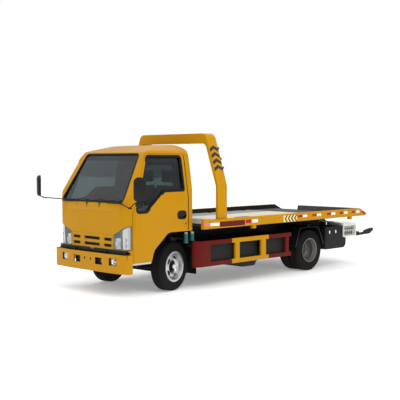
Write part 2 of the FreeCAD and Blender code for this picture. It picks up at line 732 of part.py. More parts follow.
def cab_side(inset):
    d = inset
    return [(CAB_REAR_X + d, CAB_FLOOR_Z), (CAB_REAR_X + d, ROOF_Z - d, eased(95, d)),
            (60, ROOF_Z - 28 - d, 900), (505, 2134 - d, eased(70, d)), (946 - d * 1.14, 1392, eased(14, d)),
            (CAB_FRONT_X - d, 1372 - d * 0.5, eased(16, d)), (CAB_FRONT_X - 2 - d, 1278, eased(14, d)),
            (CAB_FRONT_X - 26 - d, 1256, eased(10, d)), (CAB_FRONT_X - 46 - d, CAB_FRONT_BOTTOM_Z)]


def cab_body(inset, floor):
    # floor lists the underside from the front back to the rear wall
    side = cab_side(inset)
    side[0] = (side[0][0], floor[-1][1])
    lengthwise = prism(side + list(floor[:-1]), "y", (-CAB_HALF_W - 50, CAB_HALF_W + 50))
    half = CAB_HALF_W - inset
    front_view = mirrored_corners([(half, 400), (half, BELT_Z, 900), (half - 100, 2010 - inset, 500),
                                   (half - 135, 2150 - inset, eased(90, inset)),
                                   (half - 330, 2250 - inset, 500)])
    corner, nose = eased(40, inset), CAB_HALF_W - 550
    top_view = [(CAB_REAR_X + inset, half, corner), (925 - inset, half, 155 - inset),
                (CAB_FRONT_X - inset, nose, 900), (CAB_FRONT_X - inset, -nose, 900), (925 - inset, -half, 155 - inset),
                (CAB_REAR_X + inset, -half, corner)]
    across = prism(front_view, "x", (CAB_REAR_X - 50, CAB_FRONT_X + 50))
    upward = prism(top_view, "z", (300, ROOF_Z + 100))
    return lengthwise.common(across).common(upward)


CAB_UNDER = [(880, 655), (430, 655, 80), (141, CAB_FLOOR_Z, 120), (CAB_REAR_X, CAB_FLOOR_Z)]
CAB_INSIDE = [(880 - WALL, 655 + WALL), (450, 655 + WALL, 60), (165, CAB_FLOOR_Z + WALL, 90),
              (CAB_REAR_X, CAB_FLOOR_Z + WALL)]
DOOR_OUTLINE = [(DOOR_FRONT_X, SILL_Z), (DOOR_FRONT_X, 1235, 60), (505, 2104, 60), (DOOR_REAR_X, 2104, 30),
                (DOOR_REAR_X, 916), (141, 908, 130), (426, 666, 160), (490, SILL_Z)]
WINDOW_OUTLINE = [(795, 1240, 50), (484, 2072, 60), (-222, 2072, 40), (-222, 1545, 30), (196, 1543, 60),
                  (574, 1240, 60)]


def grown(corners, by, plane, limits):
    # The prism of an outline pushed outward by a distance, or inward when it is negative
    low, high = sorted(limits)
    direction = {"x": V(1, 0, 0), "y": V(0, 1, 0), "z": V(0, 0, 1)}[plane]
    wire = outline(corners, plane, low)
    face = Part.Face(wire)
    if by:
        face = face.makeOffset2D(by, 2)
    return face.extrude(direction * (high - low))


def skirt():
    side = [(900, SILL_Z, 15), (900, 700), (380, 700), (426, 666, 60), (490, SILL_Z)]
    return prism(side, "y", (CAB_HALF_W - 150, CAB_HALF_W))


def step_recess():
    return box((500, 835), (CAB_HALF_W - 132, CAB_HALF_W - DOOR_T + 1), (520, 690))


def cab_outer(inset):
    return cab_body(inset, CAB_UNDER)


def windscreen_outline():
    return mirrored_corners([(CAB_HALF_W - 112, 1396, 50), (CAB_HALF_W - 228, 2104, 60)])


def rear_window_outline(inset):
    half = CAB_HALF_W - 430 - inset
    low, high = 1560 + inset, 1930 - inset
    return [(-half, low, 60), (half, low, 60), (half, high, 60), (-half, high, 60)]


def headlamp_outline():
    return [(GRILLE[0][1] + 4, 695), (CAB_HALF_W, 695), (CAB_HALF_W, 1052), (CAB_HALF_W - 50, 1045, 20),
            (GRILLE[0][1] + 4, 905)]


GRILLE = ((354.0 - CAB_HALF_W, CAB_HALF_W - 354.0), (690.0, 908.0))
GRILLE_SLOTS = ((-462.0, -288.0), (-185.0, 185.0), (288.0, 462.0))
GRILLE_ROWS = (745.0, 835.0)
GRILLE_SLOT_H = 44.0


def cab_shell():
    outer = cab_outer(0)
    inner = cab_body(WALL, CAB_INSIDE)
    tunnel = box((CAB_REAR_X, 640), (-TUNNEL_HALF_W - 30, TUNNEL_HALF_W + 30), (600, CAB_FLOOR_Z + WALL))
    inner = inner.cut(tunnel)
    shell = fuse([outer] + both_sides(skirt()))
    shell = shell.cut(inner)
    shell = shell.cut(box((CAB_REAR_X - 1, 600), (-TUNNEL_HALF_W, TUNNEL_HALF_W), (600, CAB_FLOOR_Z)))
    cuts = []
    for side in (1, -1):
        opening = grown(DOOR_OUTLINE, MOVE_GAP, "y", (CAB_HALF_W - 290, CAB_HALF_W + 60))
        opening = opening.fuse(box((DOOR_REAR_X - 16, DOOR_REAR_X + 30), (CAB_HALF_W - 214, CAB_HALF_W + 60),
                                   (940, 2085)))
        under = box((400, DOOR_FRONT_X + MOVE_GAP), (CAB_HALF_W - DOOR_T - MOVE_GAP, CAB_HALF_W + 60),
                    (300, 700))
        pocket = opening.fuse(under)
        keep_step = box((400, 900), (0, CAB_HALF_W - DOOR_T - MOVE_GAP), (300, 520))
        pocket = pocket.cut(keep_step)
        recess = step_recess()
        for piece in (pocket, recess):
            cuts.append(piece if side == 1 else mirrored(piece))
    cuts.append(prism(windscreen_outline(), "x", (300, 1100)))
    cuts.append(prism(rear_window_outline(0), "x", (CAB_REAR_X - 10, CAB_REAR_X + WALL + 30)))
    cuts.append(box((800, 1100), GRILLE[0], GRILLE[1]))
    lamp = prism(headlamp_outline(), "x", (DOOR_FRONT_X + 12, 1100))
    lamp = lamp.cut(cab_body(58, CAB_INSIDE))
    cuts.append(lamp)
    cuts.append(mirrored(lamp))
    return shell.cut(Part.Compound(cuts))


def cab_hinges():
    x, z = CAB_PIVOT
    pieces = []
    for side in (1, -1):
        y = side * (RAIL_OUT_Y + 14 + MOVE_GAP)
        plate = prism([(x - 18, z), (x - 30, 676), (x + 12, 676), (x + 18, z)], "y", (y, y + side * 14))
        eye = bar((x, min(y, y + side * 14), z), (0, 1, 0), 18, 14)
        pin = cylinder((x, side * (RAIL_OUT_Y + 14 + MOVE_GAP + 1), z), (0, -side, 0), CAB_PIN_R, 18)
        pieces.extend([plate, eye, pin])
    return pieces


def cab_glass():
    band = cab_body(22, CAB_UNDER).cut(cab_body(22 + GLASS_T, CAB_UNDER))
    front = band.common(grown(windscreen_outline(), -0.2, "x", (420, 1100)))
    rear = prism(rear_window_outline(0.2), "x", (CAB_REAR_X + 14, CAB_REAR_X + 14 + GLASS_T))
    return group([front, rear])


def grille():
    plate = box((CAB_FRONT_X - 64, CAB_FRONT_X - 40), (GRILLE[0][0] + 0.2, GRILLE[0][1] - 0.2),
                (GRILLE[1][0] + 0.2, GRILLE[1][1] - 0.2))
    holes = []
    for low, high in GRILLE_SLOTS:
        for row in GRILLE_ROWS:
            holes.append(box((800, 1000), (low, high), (row - GRILLE_SLOT_H / 2, row + GRILLE_SLOT_H / 2)))
    return plate.cut(Part.Compound(holes))


def headlamps():
    body = cab_outer(1).cut(cab_body(57, CAB_INSIDE))
    lens = body.common(grown(headlamp_outline(), -0.3, "x", (DOOR_FRONT_X + 14, 1100)))
    return group(both_sides(lens))


def dashboard():
    side = [(845, 1000), (852, 1330, 20), (800, 1345, 20), (620, 1300, 40), (580, 1130, 30), (640, 1000)]
    body = prism(side, "y", (105 - CAB_HALF_W, CAB_HALF_W - 105))
    hood = prism([(700, 1300), (700, 1392, 20), (600, 1335, 20), (610, 1250)], "y",
                 (STEER_Y - 160, STEER_Y + 160))
    foot = CAB_FLOOR_Z + WALL + PIN_GAP
    centre = prism([(740, foot), (740, 1010), (600, 1130), (560, 1130, 20), (530, foot)], "y", (-150, 150))
    hub = V(*STEER_HUB)
    column_foot = hub - V(*STEER_AXIS).normalize() * 262
    column = bar(tuple(column_foot), STEER_AXIS, 34, 262 - PIN_GAP, 12)
    return fuse([body, hood, centre, column])


STEER_Y = CAB_HALF_W - 450.0
STEER_AXIS = (-0.42, 0.0, 0.9075)
STEER_HUB = (590.0, STEER_Y, 1358.0)
STEER_R = 205.0


def steering_wheel():
    hub = cylinder((0, 0, 0), (0, 0, 1), 46, 34)
    low, high = STEER_R - 8, STEER_R + 8
    ring = lathe_y([(-13, low), (-13, high), (13, high), (13, low)], (0, 0, 0), 20)
    ring.rotate(V(0, 0, 0), V(1, 0, 0), 90)
    ring.translate(V(0, 0, 34))
    pieces = [hub, ring]
    for angle in (90, 210, 330):
        spoke = box((30, STEER_R - 4), (-18, 18), (14, 28))
        pieces.append(turned(spoke, (0, 0, 0), (0, 0, 1), angle))
    whole = fuse(pieces)
    lean = math.degrees(math.atan2(STEER_AXIS[0], STEER_AXIS[2]))
    whole.rotate(V(0, 0, 0), V(0, 1, 0), lean)
    whole.translate(V(*STEER_HUB))
    return whole


def seat(y_low, y_high, heads):
    cushion = prism([(-190, CAB_FLOOR_Z + WALL), (360, CAB_FLOOR_Z + WALL), (375, 1110, 50), (-190, 1070)],
                    "y", (y_low, y_high))
    back = prism([(-190, 1070.3), (-90, 1077.4), (-215, 1640), (-300, 1640)], "y", (y_low, y_high))
    pieces = [cushion, back]
    for y in heads:
        pieces.append(prism([(-300, 1650), (-215, 1650), (-235, 1860, 30), (-310, 1860, 30)],
                            "y", (y - 130, y + 130)))
        pieces.append(box((-275, -245), (y - 50, y + 50), (1635, 1665)))
    return fuse(pieces)


def seats():
    edge = CAB_HALF_W - 195
    return group([seat(STEER_Y - 235, edge, [STEER_Y + 10]), seat(-edge, STEER_Y - 275, [205 - edge, -70])])


WIPER_Y = (350.0 - CAB_HALF_W, -70.0, CAB_HALF_W - 550.0)
MIRROR_Y = CAB_HALF_W + 372.0
MIRROR_TURN_DEG = 27.0
MIRROR_HALF_W = 95.0
MIRROR_HALF_H = 170.0


def wiper(y):
    # Drawn flat with x out of the windscreen and z up it, then leaned back about the cowl's edge
    arm = prism([(y - 9, -4), (y + 9, -6), (y + 330, 46), (y + 330, 56)], "x", (0.5, 7.5))
    link = box((-10, 7.5), (y + 300, y + 330), (44, 56))
    blade = box((-20.5, -8), (y + 20, y + 400), (46, 58))
    whole = fuse([arm, link, blade])
    lean = math.degrees(math.atan2(946 - 505, 2134 - 1392))
    whole.rotate(V(0, 0, 0), V(0, 1, 0), -lean)
    whole.translate(V(946, 0, 1392))
    pivot = bar((957, y, 1391), (0, 0, 1), 12, 10, 8)
    return fuse([whole, pivot]).cut(cab_outer(0))


def wipers():
    return group([wiper(y) for y in WIPER_Y])


def mirror_head(side):
    # The plate faces back and inward, to the driver
    wide, tall = MIRROR_HALF_W, MIRROR_HALF_H
    shape = prism([(-wide, -tall, 50), (wide, -tall, 50), (wide, tall, 70), (-wide, tall, 70)], "x", (-26, 26))
    shape = turned(shape, (0, 0, 0), (0, 0, 1), side * MIRROR_TURN_DEG)
    shape.translate(V(1050, side * MIRROR_Y, 1600))
    return shape


def mirrors():
    left_arm = path_bar([(925, CAB_HALF_W - 250, 1384), (958, CAB_HALF_W - 130, 1372),
                         (975, CAB_HALF_W + 80, 1318), (1000, CAB_HALF_W + 200, 1390),
                         (1046, MIRROR_Y - 4, 1445)], 9)
    right_arm = path_bar([(925, 250 - CAB_HALF_W, 1384), (962, 110 - CAB_HALF_W, 1404),
                          (1010, -CAB_HALF_W - 270, 1412), (1046, -MIRROR_Y, 1445)], 9)
    outside = cab_outer(0)
    left = fuse([left_arm, mirror_head(1)]).cut(outside)
    right = fuse([right_arm, mirror_head(-1)]).cut(outside)
    return group([left, right])


# Doors

DOOR_UNDER = [(900, 300), (-500, 300)]


def door(side):
    # side is 1 for the left door and -1 for the right one
    near, far = side * (CAB_HALF_W - 350), side * (CAB_HALF_W + 40)
    body = cab_outer(0).cut(cab_body(DOOR_T, DOOR_UNDER))
    lower = prism([(900, SILL_Z - 20), (900, 960), (100, 960), (100, SILL_Z - 20)], "y",
                  (side * (CAB_HALF_W - DOOR_T), side * CAB_HALF_W))
    panel = body.fuse(lower).common(prism(DOOR_OUTLINE, "y", (near, far)))
    window = prism(WINDOW_OUTLINE, "y", (near, far))
    grip = prism([(-245, 1105, 52), (-55, 1105, 52), (-55, 1232, 52), (-245, 1232, 52)], "y",
                 (side * (CAB_HALF_W - 34), far))
    return panel.cut(window).cut(grip)


def door_glass(side):
    band = cab_body(22, DOOR_UNDER).cut(cab_body(22 + GLASS_T, DOOR_UNDER))
    return band.common(grown(WINDOW_OUTLINE, -0.2, "y", (side * (CAB_HALF_W - 350), side * (CAB_HALF_W + 50))))


# Tilt frame, cylinders and bed

def tilt_frame():
    x, z = TILT_PIVOT
    y = (RAIL_OUT_Y - 66, RAIL_OUT_Y - MOVE_GAP)
    side = [(TILT_FRONT_X, TILT_BOTTOM_Z), (TILT_FRONT_X, TILT_TOP_Z), (x - 40, TILT_TOP_Z, 30),
            (x - 62, z - 5, 20), (x + 40, TILT_BOTTOM_Z)]
    rail = prism(side, "y", y)
    pocket = prism([(TILT_FRONT_X + 1, TILT_BOTTOM_Z + 8), (TILT_FRONT_X + 1, TILT_TOP_Z - 8),
                    (x + 120, TILT_TOP_Z - 8), (x + 120, TILT_BOTTOM_Z + 8)], "y", (y[0] - 1, y[1] - 8))
    rail = rail.cut(pocket)
    pieces = both_sides(rail)
    for cx in (TILT_FRONT_X - 40, 0.506 * REAR_AXLE_X, 0.729 * REAR_AXLE_X, x + 160):
        pieces.append(box((cx - 35, cx + 35), (-y[1] + 8, y[1] - 8), (TILT_BOTTOM_Z + 30, TILT_TOP_Z - 30)))
    ex, ez = LIFT_EYE
    pieces.append(cylinder((ex, -y[1] + 8, ez), (0, 1, 0), LIFT_PIN_R, 2 * (y[1] - 8)))
    return fuse(pieces).cut(bore((x, -500, z), (0, 1, 0), TILT_PIN_R + PIN_GAP, 1000))


def lift_direction():
    dx = LIFT_EYE[0] - LIFT_BASE[0]
    dz = LIFT_EYE[1] - LIFT_BASE[1]
    length = math.hypot(dx, dz)
    return V(dx / length, 0, dz / length), length


def lift_barrels():
    along, length = lift_direction()
    pieces = []
    for y in (LIFT_Y, -LIFT_Y):
        base = V(LIFT_BASE[0], y, LIFT_BASE[1])
        eye = bar((base.x, y - 30, base.z), (0, 1, 0), 42, 60)
        barrel = bar(tuple(base + along * 30), tuple(along), LIFT_BARREL_R, 540)
        whole = fuse([eye, barrel])
        whole = whole.cut(bore(tuple(base + along * 80), tuple(along), LIFT_ROD_R + PIN_GAP, 520))
        whole = whole.cut(bore((base.x, y - 40, base.z), (0, 1, 0), 24 + PIN_GAP, 80))
        pieces.append(whole)
    return group(pieces)


def long_eye(radius, corner):
    # Side view of a rod's eye, which lets its pin float forward and up as the bed tilts
    turn = math.radians(LIFT_PLAY_DEG)
    ahead, across = V(math.cos(turn), math.sin(turn), 0), V(-math.sin(turn), math.cos(turn), 0)
    at = V(LIFT_EYE[0], LIFT_EYE[1], 0)
    corners = []
    for reach, aside in ((-radius, -1), (-radius, 1), (LIFT_PLAY + radius, 1), (LIFT_PLAY + radius, -1)):
        p = at + ahead * reach + across * radius * aside
        corners.append((p.x, p.y, corner))
    return corners


def lift_rods():
    along, length = lift_direction()
    pieces = []
    for y in (LIFT_Y, -LIFT_Y):
        tip = V(LIFT_EYE[0], y, LIFT_EYE[1])
        eye = prism(long_eye(LIFT_PIN_R + 16, LIFT_PIN_R + 15.9), "y", (y - 24, y + 24))
        rod = bar(tuple(tip - along * 30), tuple(-along), LIFT_ROD_R, length - 200)
        slot = prism(long_eye(LIFT_PIN_R + 1.5, LIFT_PIN_R - 3), "y", (y - 40, y + 40))
        pieces.append(fuse([eye, rod]).cut(slot))
    return group(pieces)


BEAM_Y = (300.0, 376.0)
BEAM_FRONT_X = -470.0
BED_CROSS_PITCH = (BED_SLOPE_X + 950.0) / 6
BED_CROSS_X = [-500.0] + [-860.0 + i * BED_CROSS_PITCH for i in range(7)]


def beam_side(inset):
    # Side view of a bed beam, whose rear end follows the sloping tail
    top, rear = FLOOR_TOP_Z - FLOOR_T - inset, BED_TAIL_X + 100 - 2 * inset
    return [(BEAM_FRONT_X - inset, TILT_TOP_Z + 0.5 + inset), (BEAM_FRONT_X - inset, top), (BED_SLOPE_X, top),
            (rear, tail_z(rear) - FLOOR_T - inset), (rear, TILT_TOP_Z + 0.5 + inset)]


def tail_z(x):
    # Height of the floor's top where it slopes down to the tail
    return FLOOR_TOP_Z - TAIL_DROP * (BED_SLOPE_X - x) / (BED_SLOPE_X - BED_TAIL_X)


def bed_frame():
    beam = prism(beam_side(0), "y", BEAM_Y)
    hollow = prism(beam_side(10), "y", (BEAM_Y[0] - 1, BEAM_Y[1] - 8))
    pieces = both_sides(beam.cut(hollow))
    inner_y = BED_HALF_W - RAIL_W
    for x in BED_CROSS_X:
        pieces.append(box((x - 30, x + 30), (-inner_y, inner_y), (BED_RAIL_BOTTOM_Z, FLOOR_TOP_Z - FLOOR_T)))
    return fuse(pieces)


def bed_floor():
    inner_y = BED_HALF_W - RAIL_W
    plate = box((FLOOR_FRONT_X, BED_SLOPE_X), (-inner_y, inner_y), (FLOOR_TOP_Z - FLOOR_T, FLOOR_TOP_Z))
    end = tail_z(BED_TAIL_X)
    tail = prism([(BED_SLOPE_X, FLOOR_TOP_Z - FLOOR_T), (BED_SLOPE_X, FLOOR_TOP_Z), (BED_TAIL_X, end),
                  (BED_TAIL_X, end - FLOOR_T)], "y", (-inner_y, inner_y))
    lip = box((FLOOR_FRONT_X - 12, FLOOR_FRONT_X), (35 - inner_y, inner_y - 35), (FLOOR_TOP_Z, 1070))
    seams = [box((x - 3, x + 3), (-inner_y - 1, inner_y + 1), (FLOOR_TOP_Z - 1.5, FLOOR_TOP_Z + 1))
             for x in FLOOR_SEAM_X]
    return fuse([plate, tail, lip]).cut(Part.Compound(seams))


def bed_rails():
    side = [(BED_FRONT_X, BED_RAIL_BOTTOM_Z), (BED_FRONT_X, BED_TOP_Z), (BED_SLOPE_X, BED_TOP_Z),
            (BED_TAIL_X, 966), (BED_TAIL_X, BED_RAIL_BOTTOM_Z)]
    rail = prism(side, "y", (BED_HALF_W - RAIL_W, BED_HALF_W))
    tabs = []
    for x in (-1610, BED_TAIL_X + 570):
        wide = (BED_HALF_W - RAIL_W, BED_HALF_W - 8)
        tabs.append(rounded_box((x - 45, x + 45), wide, (885, BED_RAIL_BOTTOM_Z), 12))
    return group(both_sides(fuse([rail] + tabs)))


def tail_plate():
    x = BED_SLOPE_X
    side = [(x + 110, FLOOR_TOP_Z), (x + 90, 1088), (x, 1088, 20), (x - 200, tail_z(x - 200)), (x, FLOOR_TOP_Z)]
    return prism(side, "y", (-350, BED_HALF_W - RAIL_W))


def arch():
    top_in_y = ARCH_TOP_Y - ARCH_T - 8
    outer = [(ARCH_OUT_Y, BED_TOP_Z), (ARCH_OUT_Y, ARCH_KNEE_Z, 200), (ARCH_TOP_Y, ARCH_TOP_Z, 120)]
    inner = [(ARCH_OUT_Y - ARCH_T, BED_TOP_Z), (ARCH_OUT_Y - ARCH_T, ARCH_KNEE_Z - 8, 200),
             (top_in_y + 50, ARCH_TOP_Z - ARCH_BEAM_H, 90)]
    portal = prism(mirrored_corners(outer), "x", ARCH_X)
    opening = prism(mirrored_corners(inner), "x", (ARCH_X[0] - 1, ARCH_X[1] + 1))
    return portal.cut(opening)


ARCH_LAMP_SHARES = (0.711, 0.506, 0.337)


def arch_lamps():
    # Three lamps up the leaning part of each post, in the middle of its thickness
    pieces = []
    for share in ARCH_LAMP_SHARES:
        y = ARCH_OUT_Y + share * (ARCH_TOP_Y - ARCH_OUT_Y) - 28
        z = ARCH_KNEE_Z + share * (ARCH_TOP_Z - ARCH_KNEE_Z)
        pieces.extend(both_sides(bar((ARCH_X[0], y, z), (-1, 0, 0), 25, 40)))
    return group(pieces)


WINCH = (-915.0, 1095.0)
WINCH_SHAFT_R = 16.0


def winch():
    x, z = WINCH
    base = box((x - 100, x + 100), (-240, 240), (FLOOR_TOP_Z, FLOOR_TOP_Z + 12))
    pieces = [base]
    for side in (1, -1):
        cheek = [(x - 95, FLOOR_TOP_Z), (x + 95, FLOOR_TOP_Z), (x + 60, z + 70, 30), (x - 60, z + 70, 30)]
        pieces.append(prism(cheek, "y", (side * 168, side * 182)))
    pieces.append(bar((x, 182, z), (0, 1, 0), 62, 58))
    pieces.append(bar((x, -236, z), (0, 1, 0), 74, 54))
    shaft = cylinder((x, -183, z), (0, 1, 0), WINCH_SHAFT_R, 366)
    return fuse(pieces + [shaft])


def winch_drum():
    x, z = WINCH
    profile = [(-160, 10), (-160, 82), (-150, 82), (-150, 56), (150, 56), (150, 82), (160, 82), (160, 10)]
    drum = lathe_y(profile, (x, 0, z), 16)
    return drum.cut(bore((x, -170, z), (0, 1, 0), WINCH_SHAFT_R + PIN_GAP, 340, 8))


# Wheel-lift

def underlift_boom():
    x, z = BOOM_PIVOT
    tube = box((x, BOOM_REAR_X), (-BOOM_W / 2, BOOM_W / 2), (z - BOOM_H / 2, z + BOOM_H / 2))
    nose = bar((x, -BOOM_W / 2, z), (0, 1, 0), BOOM_H / 2, BOOM_W)
    inside = box((x - 140, BOOM_REAR_X - 1), (-BOOM_W / 2 + BOOM_WALL, BOOM_W / 2 - BOOM_WALL),
                 (z - BOOM_H / 2 + BOOM_WALL, z + BOOM_H / 2 - BOOM_WALL))
    return tube.fuse(nose).cut(inside).cut(bore((x, -100, z), (0, 1, 0), 22 + PIN_GAP, 200))


def underlift_slide():
    x, z = BOOM_PIVOT
    wide = BOOM_W / 2 - BOOM_WALL - SLIDE_GAP
    high = BOOM_H / 2 - BOOM_WALL - SLIDE_GAP
    tube = box((x - 150, CROSSBAR_X), (-wide, wide), (z - high, z + high))
    crossbar = box((CROSSBAR_X - 40, CROSSBAR_X + 40), (-FORK_Y - 30, FORK_Y + 30), (535, 615))
    front = CROSSBAR_X
    fork = prism([(front + 40, 535), (front - 430, 548), (front - 560, 622), (front - 530, 655),
                  (front - 300, 622), (front - 260, 588), (front + 40, 578)], "y", (FORK_Y - 30, FORK_Y + 30))
    return fuse([tube, crossbar] + both_sides(fork))


def reservoirs():
    # Two bottles on a shelf that hangs under the first guard stay
    shelf_top = FRAME_TOP - 20 - PIN_GAP
    pieces = [box((-598, -400), (580, 720), (shelf_top - 10, shelf_top))]
    for x in (-435.0, -573.0):
        pieces.append(bar((x, 650, shelf_top), (0, 0, 1), 34, 150))
        pieces.append(bar((x, 650, shelf_top + 150), (0, 0, 1), 24, 26, 12))
    return fuse(pieces)


PARTS = {
    "frame": frame,
    "engine": engine,
    "propeller_shaft": propeller_shaft,
    "radiator": radiator,
    "exhaust": exhaust,
    "fuel_tank": fuel_tank,
    "side_boxes": side_boxes,
    "side_guards": lambda: group(both_sides(side_guard())),
    "mudguards": mudguards,
    "reservoirs": reservoirs,
    "control_boxes": control_boxes,
    "chassis_lamps": chassis_lamps,
    "bumper": bumper,
    "front_axle": front_axle,
    "rear_axle": rear_axle,
    "leaf_springs": leaf_springs,
    "knuckle_left": lambda: steer_left(knuckle_left()),
    "knuckle_right": lambda: steer_right(mirrored(knuckle_left())),
    "tie_rod": tie_rod,
    "tyre_front_left": lambda: steer_left(tyre(FRONT_WHEEL_Y)),
    "rim_front_left": lambda: steer_left(front_rim(FRONT_WHEEL_Y)),
    "tyre_front_right": lambda: steer_right(mirrored(tyre(FRONT_WHEEL_Y))),
    "rim_front_right": lambda: steer_right(mirrored(front_rim(FRONT_WHEEL_Y))),
    "tyres_rear_left": rear_tyres,
    "rims_rear_left": rear_rims,
    "tyres_rear_right": lambda: mirrored(rear_tyres()),
    "rims_rear_right": lambda: mirrored(rear_rims()),
    "cab_shell": lambda: fuse([cab_shell()] + cab_hinges()),
    "cab_glass": cab_glass,
    "grille": grille,
    "headlamps": headlamps,
    "dashboard": dashboard,
    "steering_wheel": steering_wheel,
    "seats": seats,
    "wipers": wipers,
    "mirrors": mirrors,
    "door_left": lambda: door(1),
    "door_left_glass": lambda: door_glass(1),
    "door_right": lambda: door(-1),
    "door_right_glass": lambda: door_glass(-1),
    "tilt_frame": tilt_frame,
    "lift_barrels": lift_barrels,
    "lift_rods": lift_rods,
    "bed_frame": bed_frame,
    "bed_floor": bed_floor,
    "bed_rails": bed_rails,
    "tail_plate": tail_plate,
    "arch": arch,
    "arch_lamps": arch_lamps,
    "winch": winch,
    "winch_drum": winch_drum,
    "underlift_boom": underlift_boom,
    "underlift_slide": underlift_slide,
}


def main():
    os.makedirs("parts", exist_ok=True)
    for name, make in PARTS.items():
        save(name, make())


main()
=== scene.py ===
# Looks of a flatbed tow truck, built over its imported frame.
# Lengths are metres about the front axle line on the ground: x forward, y to the left, z up.

import json
import math

import bmesh
import bpy
from mathutils import Matrix, Vector
from mathutils.bvhtree import BVHTree


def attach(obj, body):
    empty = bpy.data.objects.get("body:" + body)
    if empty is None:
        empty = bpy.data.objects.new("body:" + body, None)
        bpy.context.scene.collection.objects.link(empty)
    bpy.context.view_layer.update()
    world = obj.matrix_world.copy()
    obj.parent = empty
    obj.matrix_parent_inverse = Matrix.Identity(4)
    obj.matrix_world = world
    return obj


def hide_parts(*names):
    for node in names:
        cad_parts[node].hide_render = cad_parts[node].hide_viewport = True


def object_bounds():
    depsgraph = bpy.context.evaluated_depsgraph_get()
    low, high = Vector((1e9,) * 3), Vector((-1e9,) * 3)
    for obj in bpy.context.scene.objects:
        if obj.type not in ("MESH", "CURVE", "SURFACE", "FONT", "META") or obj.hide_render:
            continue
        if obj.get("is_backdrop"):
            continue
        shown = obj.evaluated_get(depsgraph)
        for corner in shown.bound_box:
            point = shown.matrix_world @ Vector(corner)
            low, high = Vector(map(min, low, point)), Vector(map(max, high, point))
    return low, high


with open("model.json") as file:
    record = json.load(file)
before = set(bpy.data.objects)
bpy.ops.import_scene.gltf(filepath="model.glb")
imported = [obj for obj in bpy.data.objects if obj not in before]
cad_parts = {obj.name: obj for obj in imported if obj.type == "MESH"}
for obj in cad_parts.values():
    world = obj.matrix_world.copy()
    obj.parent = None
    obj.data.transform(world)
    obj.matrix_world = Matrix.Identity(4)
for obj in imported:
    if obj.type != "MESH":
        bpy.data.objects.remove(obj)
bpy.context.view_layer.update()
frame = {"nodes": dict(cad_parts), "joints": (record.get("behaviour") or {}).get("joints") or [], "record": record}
NODES = frame["nodes"]
BODY_OF = {n: b for b, members in frame["record"]["behaviour"]["bodies"].items() for n in members}
AX = next(j["pos_m"][0] for j in frame["joints"] if j["name"] == "steer_left")
SHIFT = Vector((AX, 0, 0))
scene = bpy.context.scene

SIDES = ((1, "left"), (-1, "right"))
WHEELBASE = 3.36
TYRE_R = 0.373
FRONT_WHEEL_Y = 0.70
REAR_WHEEL_YS = (0.575, 0.80)
KINGPIN_Y = 0.588
STEER_REST = math.radians(11)
CAB_HALF_W = 0.85
BED_HALF_W = 1.080
DECK_Z = 1.0
DUST_COLOUR = (0.32, 0.28, 0.22)
DUST_TOP_Z = 0.75


# Materials

def feed(made, **values):
    # Sets a node's inputs by name, with _ for a space
    for key, value in values.items():
        made.inputs[key.replace("_", " ")].default_value = value
    return made


def node(tree, kind, **values):
    return feed(tree.nodes.new("ShaderNode" + kind), **values)


def wire(a, out, b, into):
    a.id_data.links.new(a.outputs[out], b.inputs[into])


def mixer(tree, low, high):
    # Mixes two colours: its inputs 6 and 7, its output 2
    mix = node(tree, "Mix")
    mix.data_type = "RGBA"
    mix.inputs[6].default_value = (*low, 1)
    mix.inputs[7].default_value = (*high, 1)
    return mix


def surface(name, colour, rough=0.5, metal=0.0, coat=0.0, vary=0.06, scale=5.0, bump=0.0, bump_scale=300.0,
            dust=0.0, spec=0.5, **sockets):
    # A procedural finish: uneven colour and roughness, a fine bump, and dust that gathers near the ground
    mat = bpy.data.materials.new(name)
    mat.use_nodes = True
    tree = mat.node_tree
    shader = tree.nodes["Principled BSDF"]
    place = node(tree, "TexCoord")
    noise = node(tree, "TexNoise", Scale=scale, Detail=6.0)
    wire(place, "Object", noise, "Vector")
    paint = mixer(tree, [c * (1 - vary) for c in colour], [min(1.0, c * (1 + vary)) for c in colour])
    wire(noise, "Fac", paint, "Factor")
    if dust:
        split = node(tree, "SeparateXYZ")
        wire(place, "Object", split, 0)
        fall = node(tree, "MapRange", From_Min=DUST_TOP_Z, From_Max=0.0, To_Min=0.0, To_Max=dust)
        wire(split, "Z", fall, "Value")
        patch = node(tree, "Math")
        patch.operation = "MULTIPLY"
        wire(fall, "Result", patch, 0)
        wire(noise, "Fac", patch, 1)
        dusty = mixer(tree, colour, DUST_COLOUR)
        wire(patch, 0, dusty, "Factor")
        wire(paint, 2, dusty, 6)
        paint = dusty
    wire(paint, 2, shader, "Base Color")
    spread = node(tree, "MapRange", To_Min=max(0.02, rough * 0.85), To_Max=min(1.0, rough * 1.2))
    wire(noise, "Fac", spread, "Value")
    wire(spread, "Result", shader, "Roughness")
    if bump:
        fine = node(tree, "TexNoise", Scale=bump_scale, Detail=4.0)
        wire(place, "Object", fine, "Vector")
        raised = node(tree, "Bump", Strength=bump, Distance=0.001)
        wire(fine, "Fac", raised, "Height")
        wire(raised, "Normal", shader, "Normal")
    feed(shader, Metallic=metal, Coat_Weight=coat, Coat_Roughness=0.06, Specular_IOR_Level=spec, **sockets)
    return mat


def clear(name, colour):
    mat = bpy.data.materials.new(name)
    mat.use_nodes = True
    feed(mat.node_tree.nodes["Principled BSDF"], Base_Color=(*colour, 1), Roughness=0.02,
         Transmission_Weight=1.0, IOR=1.45)
    return mat


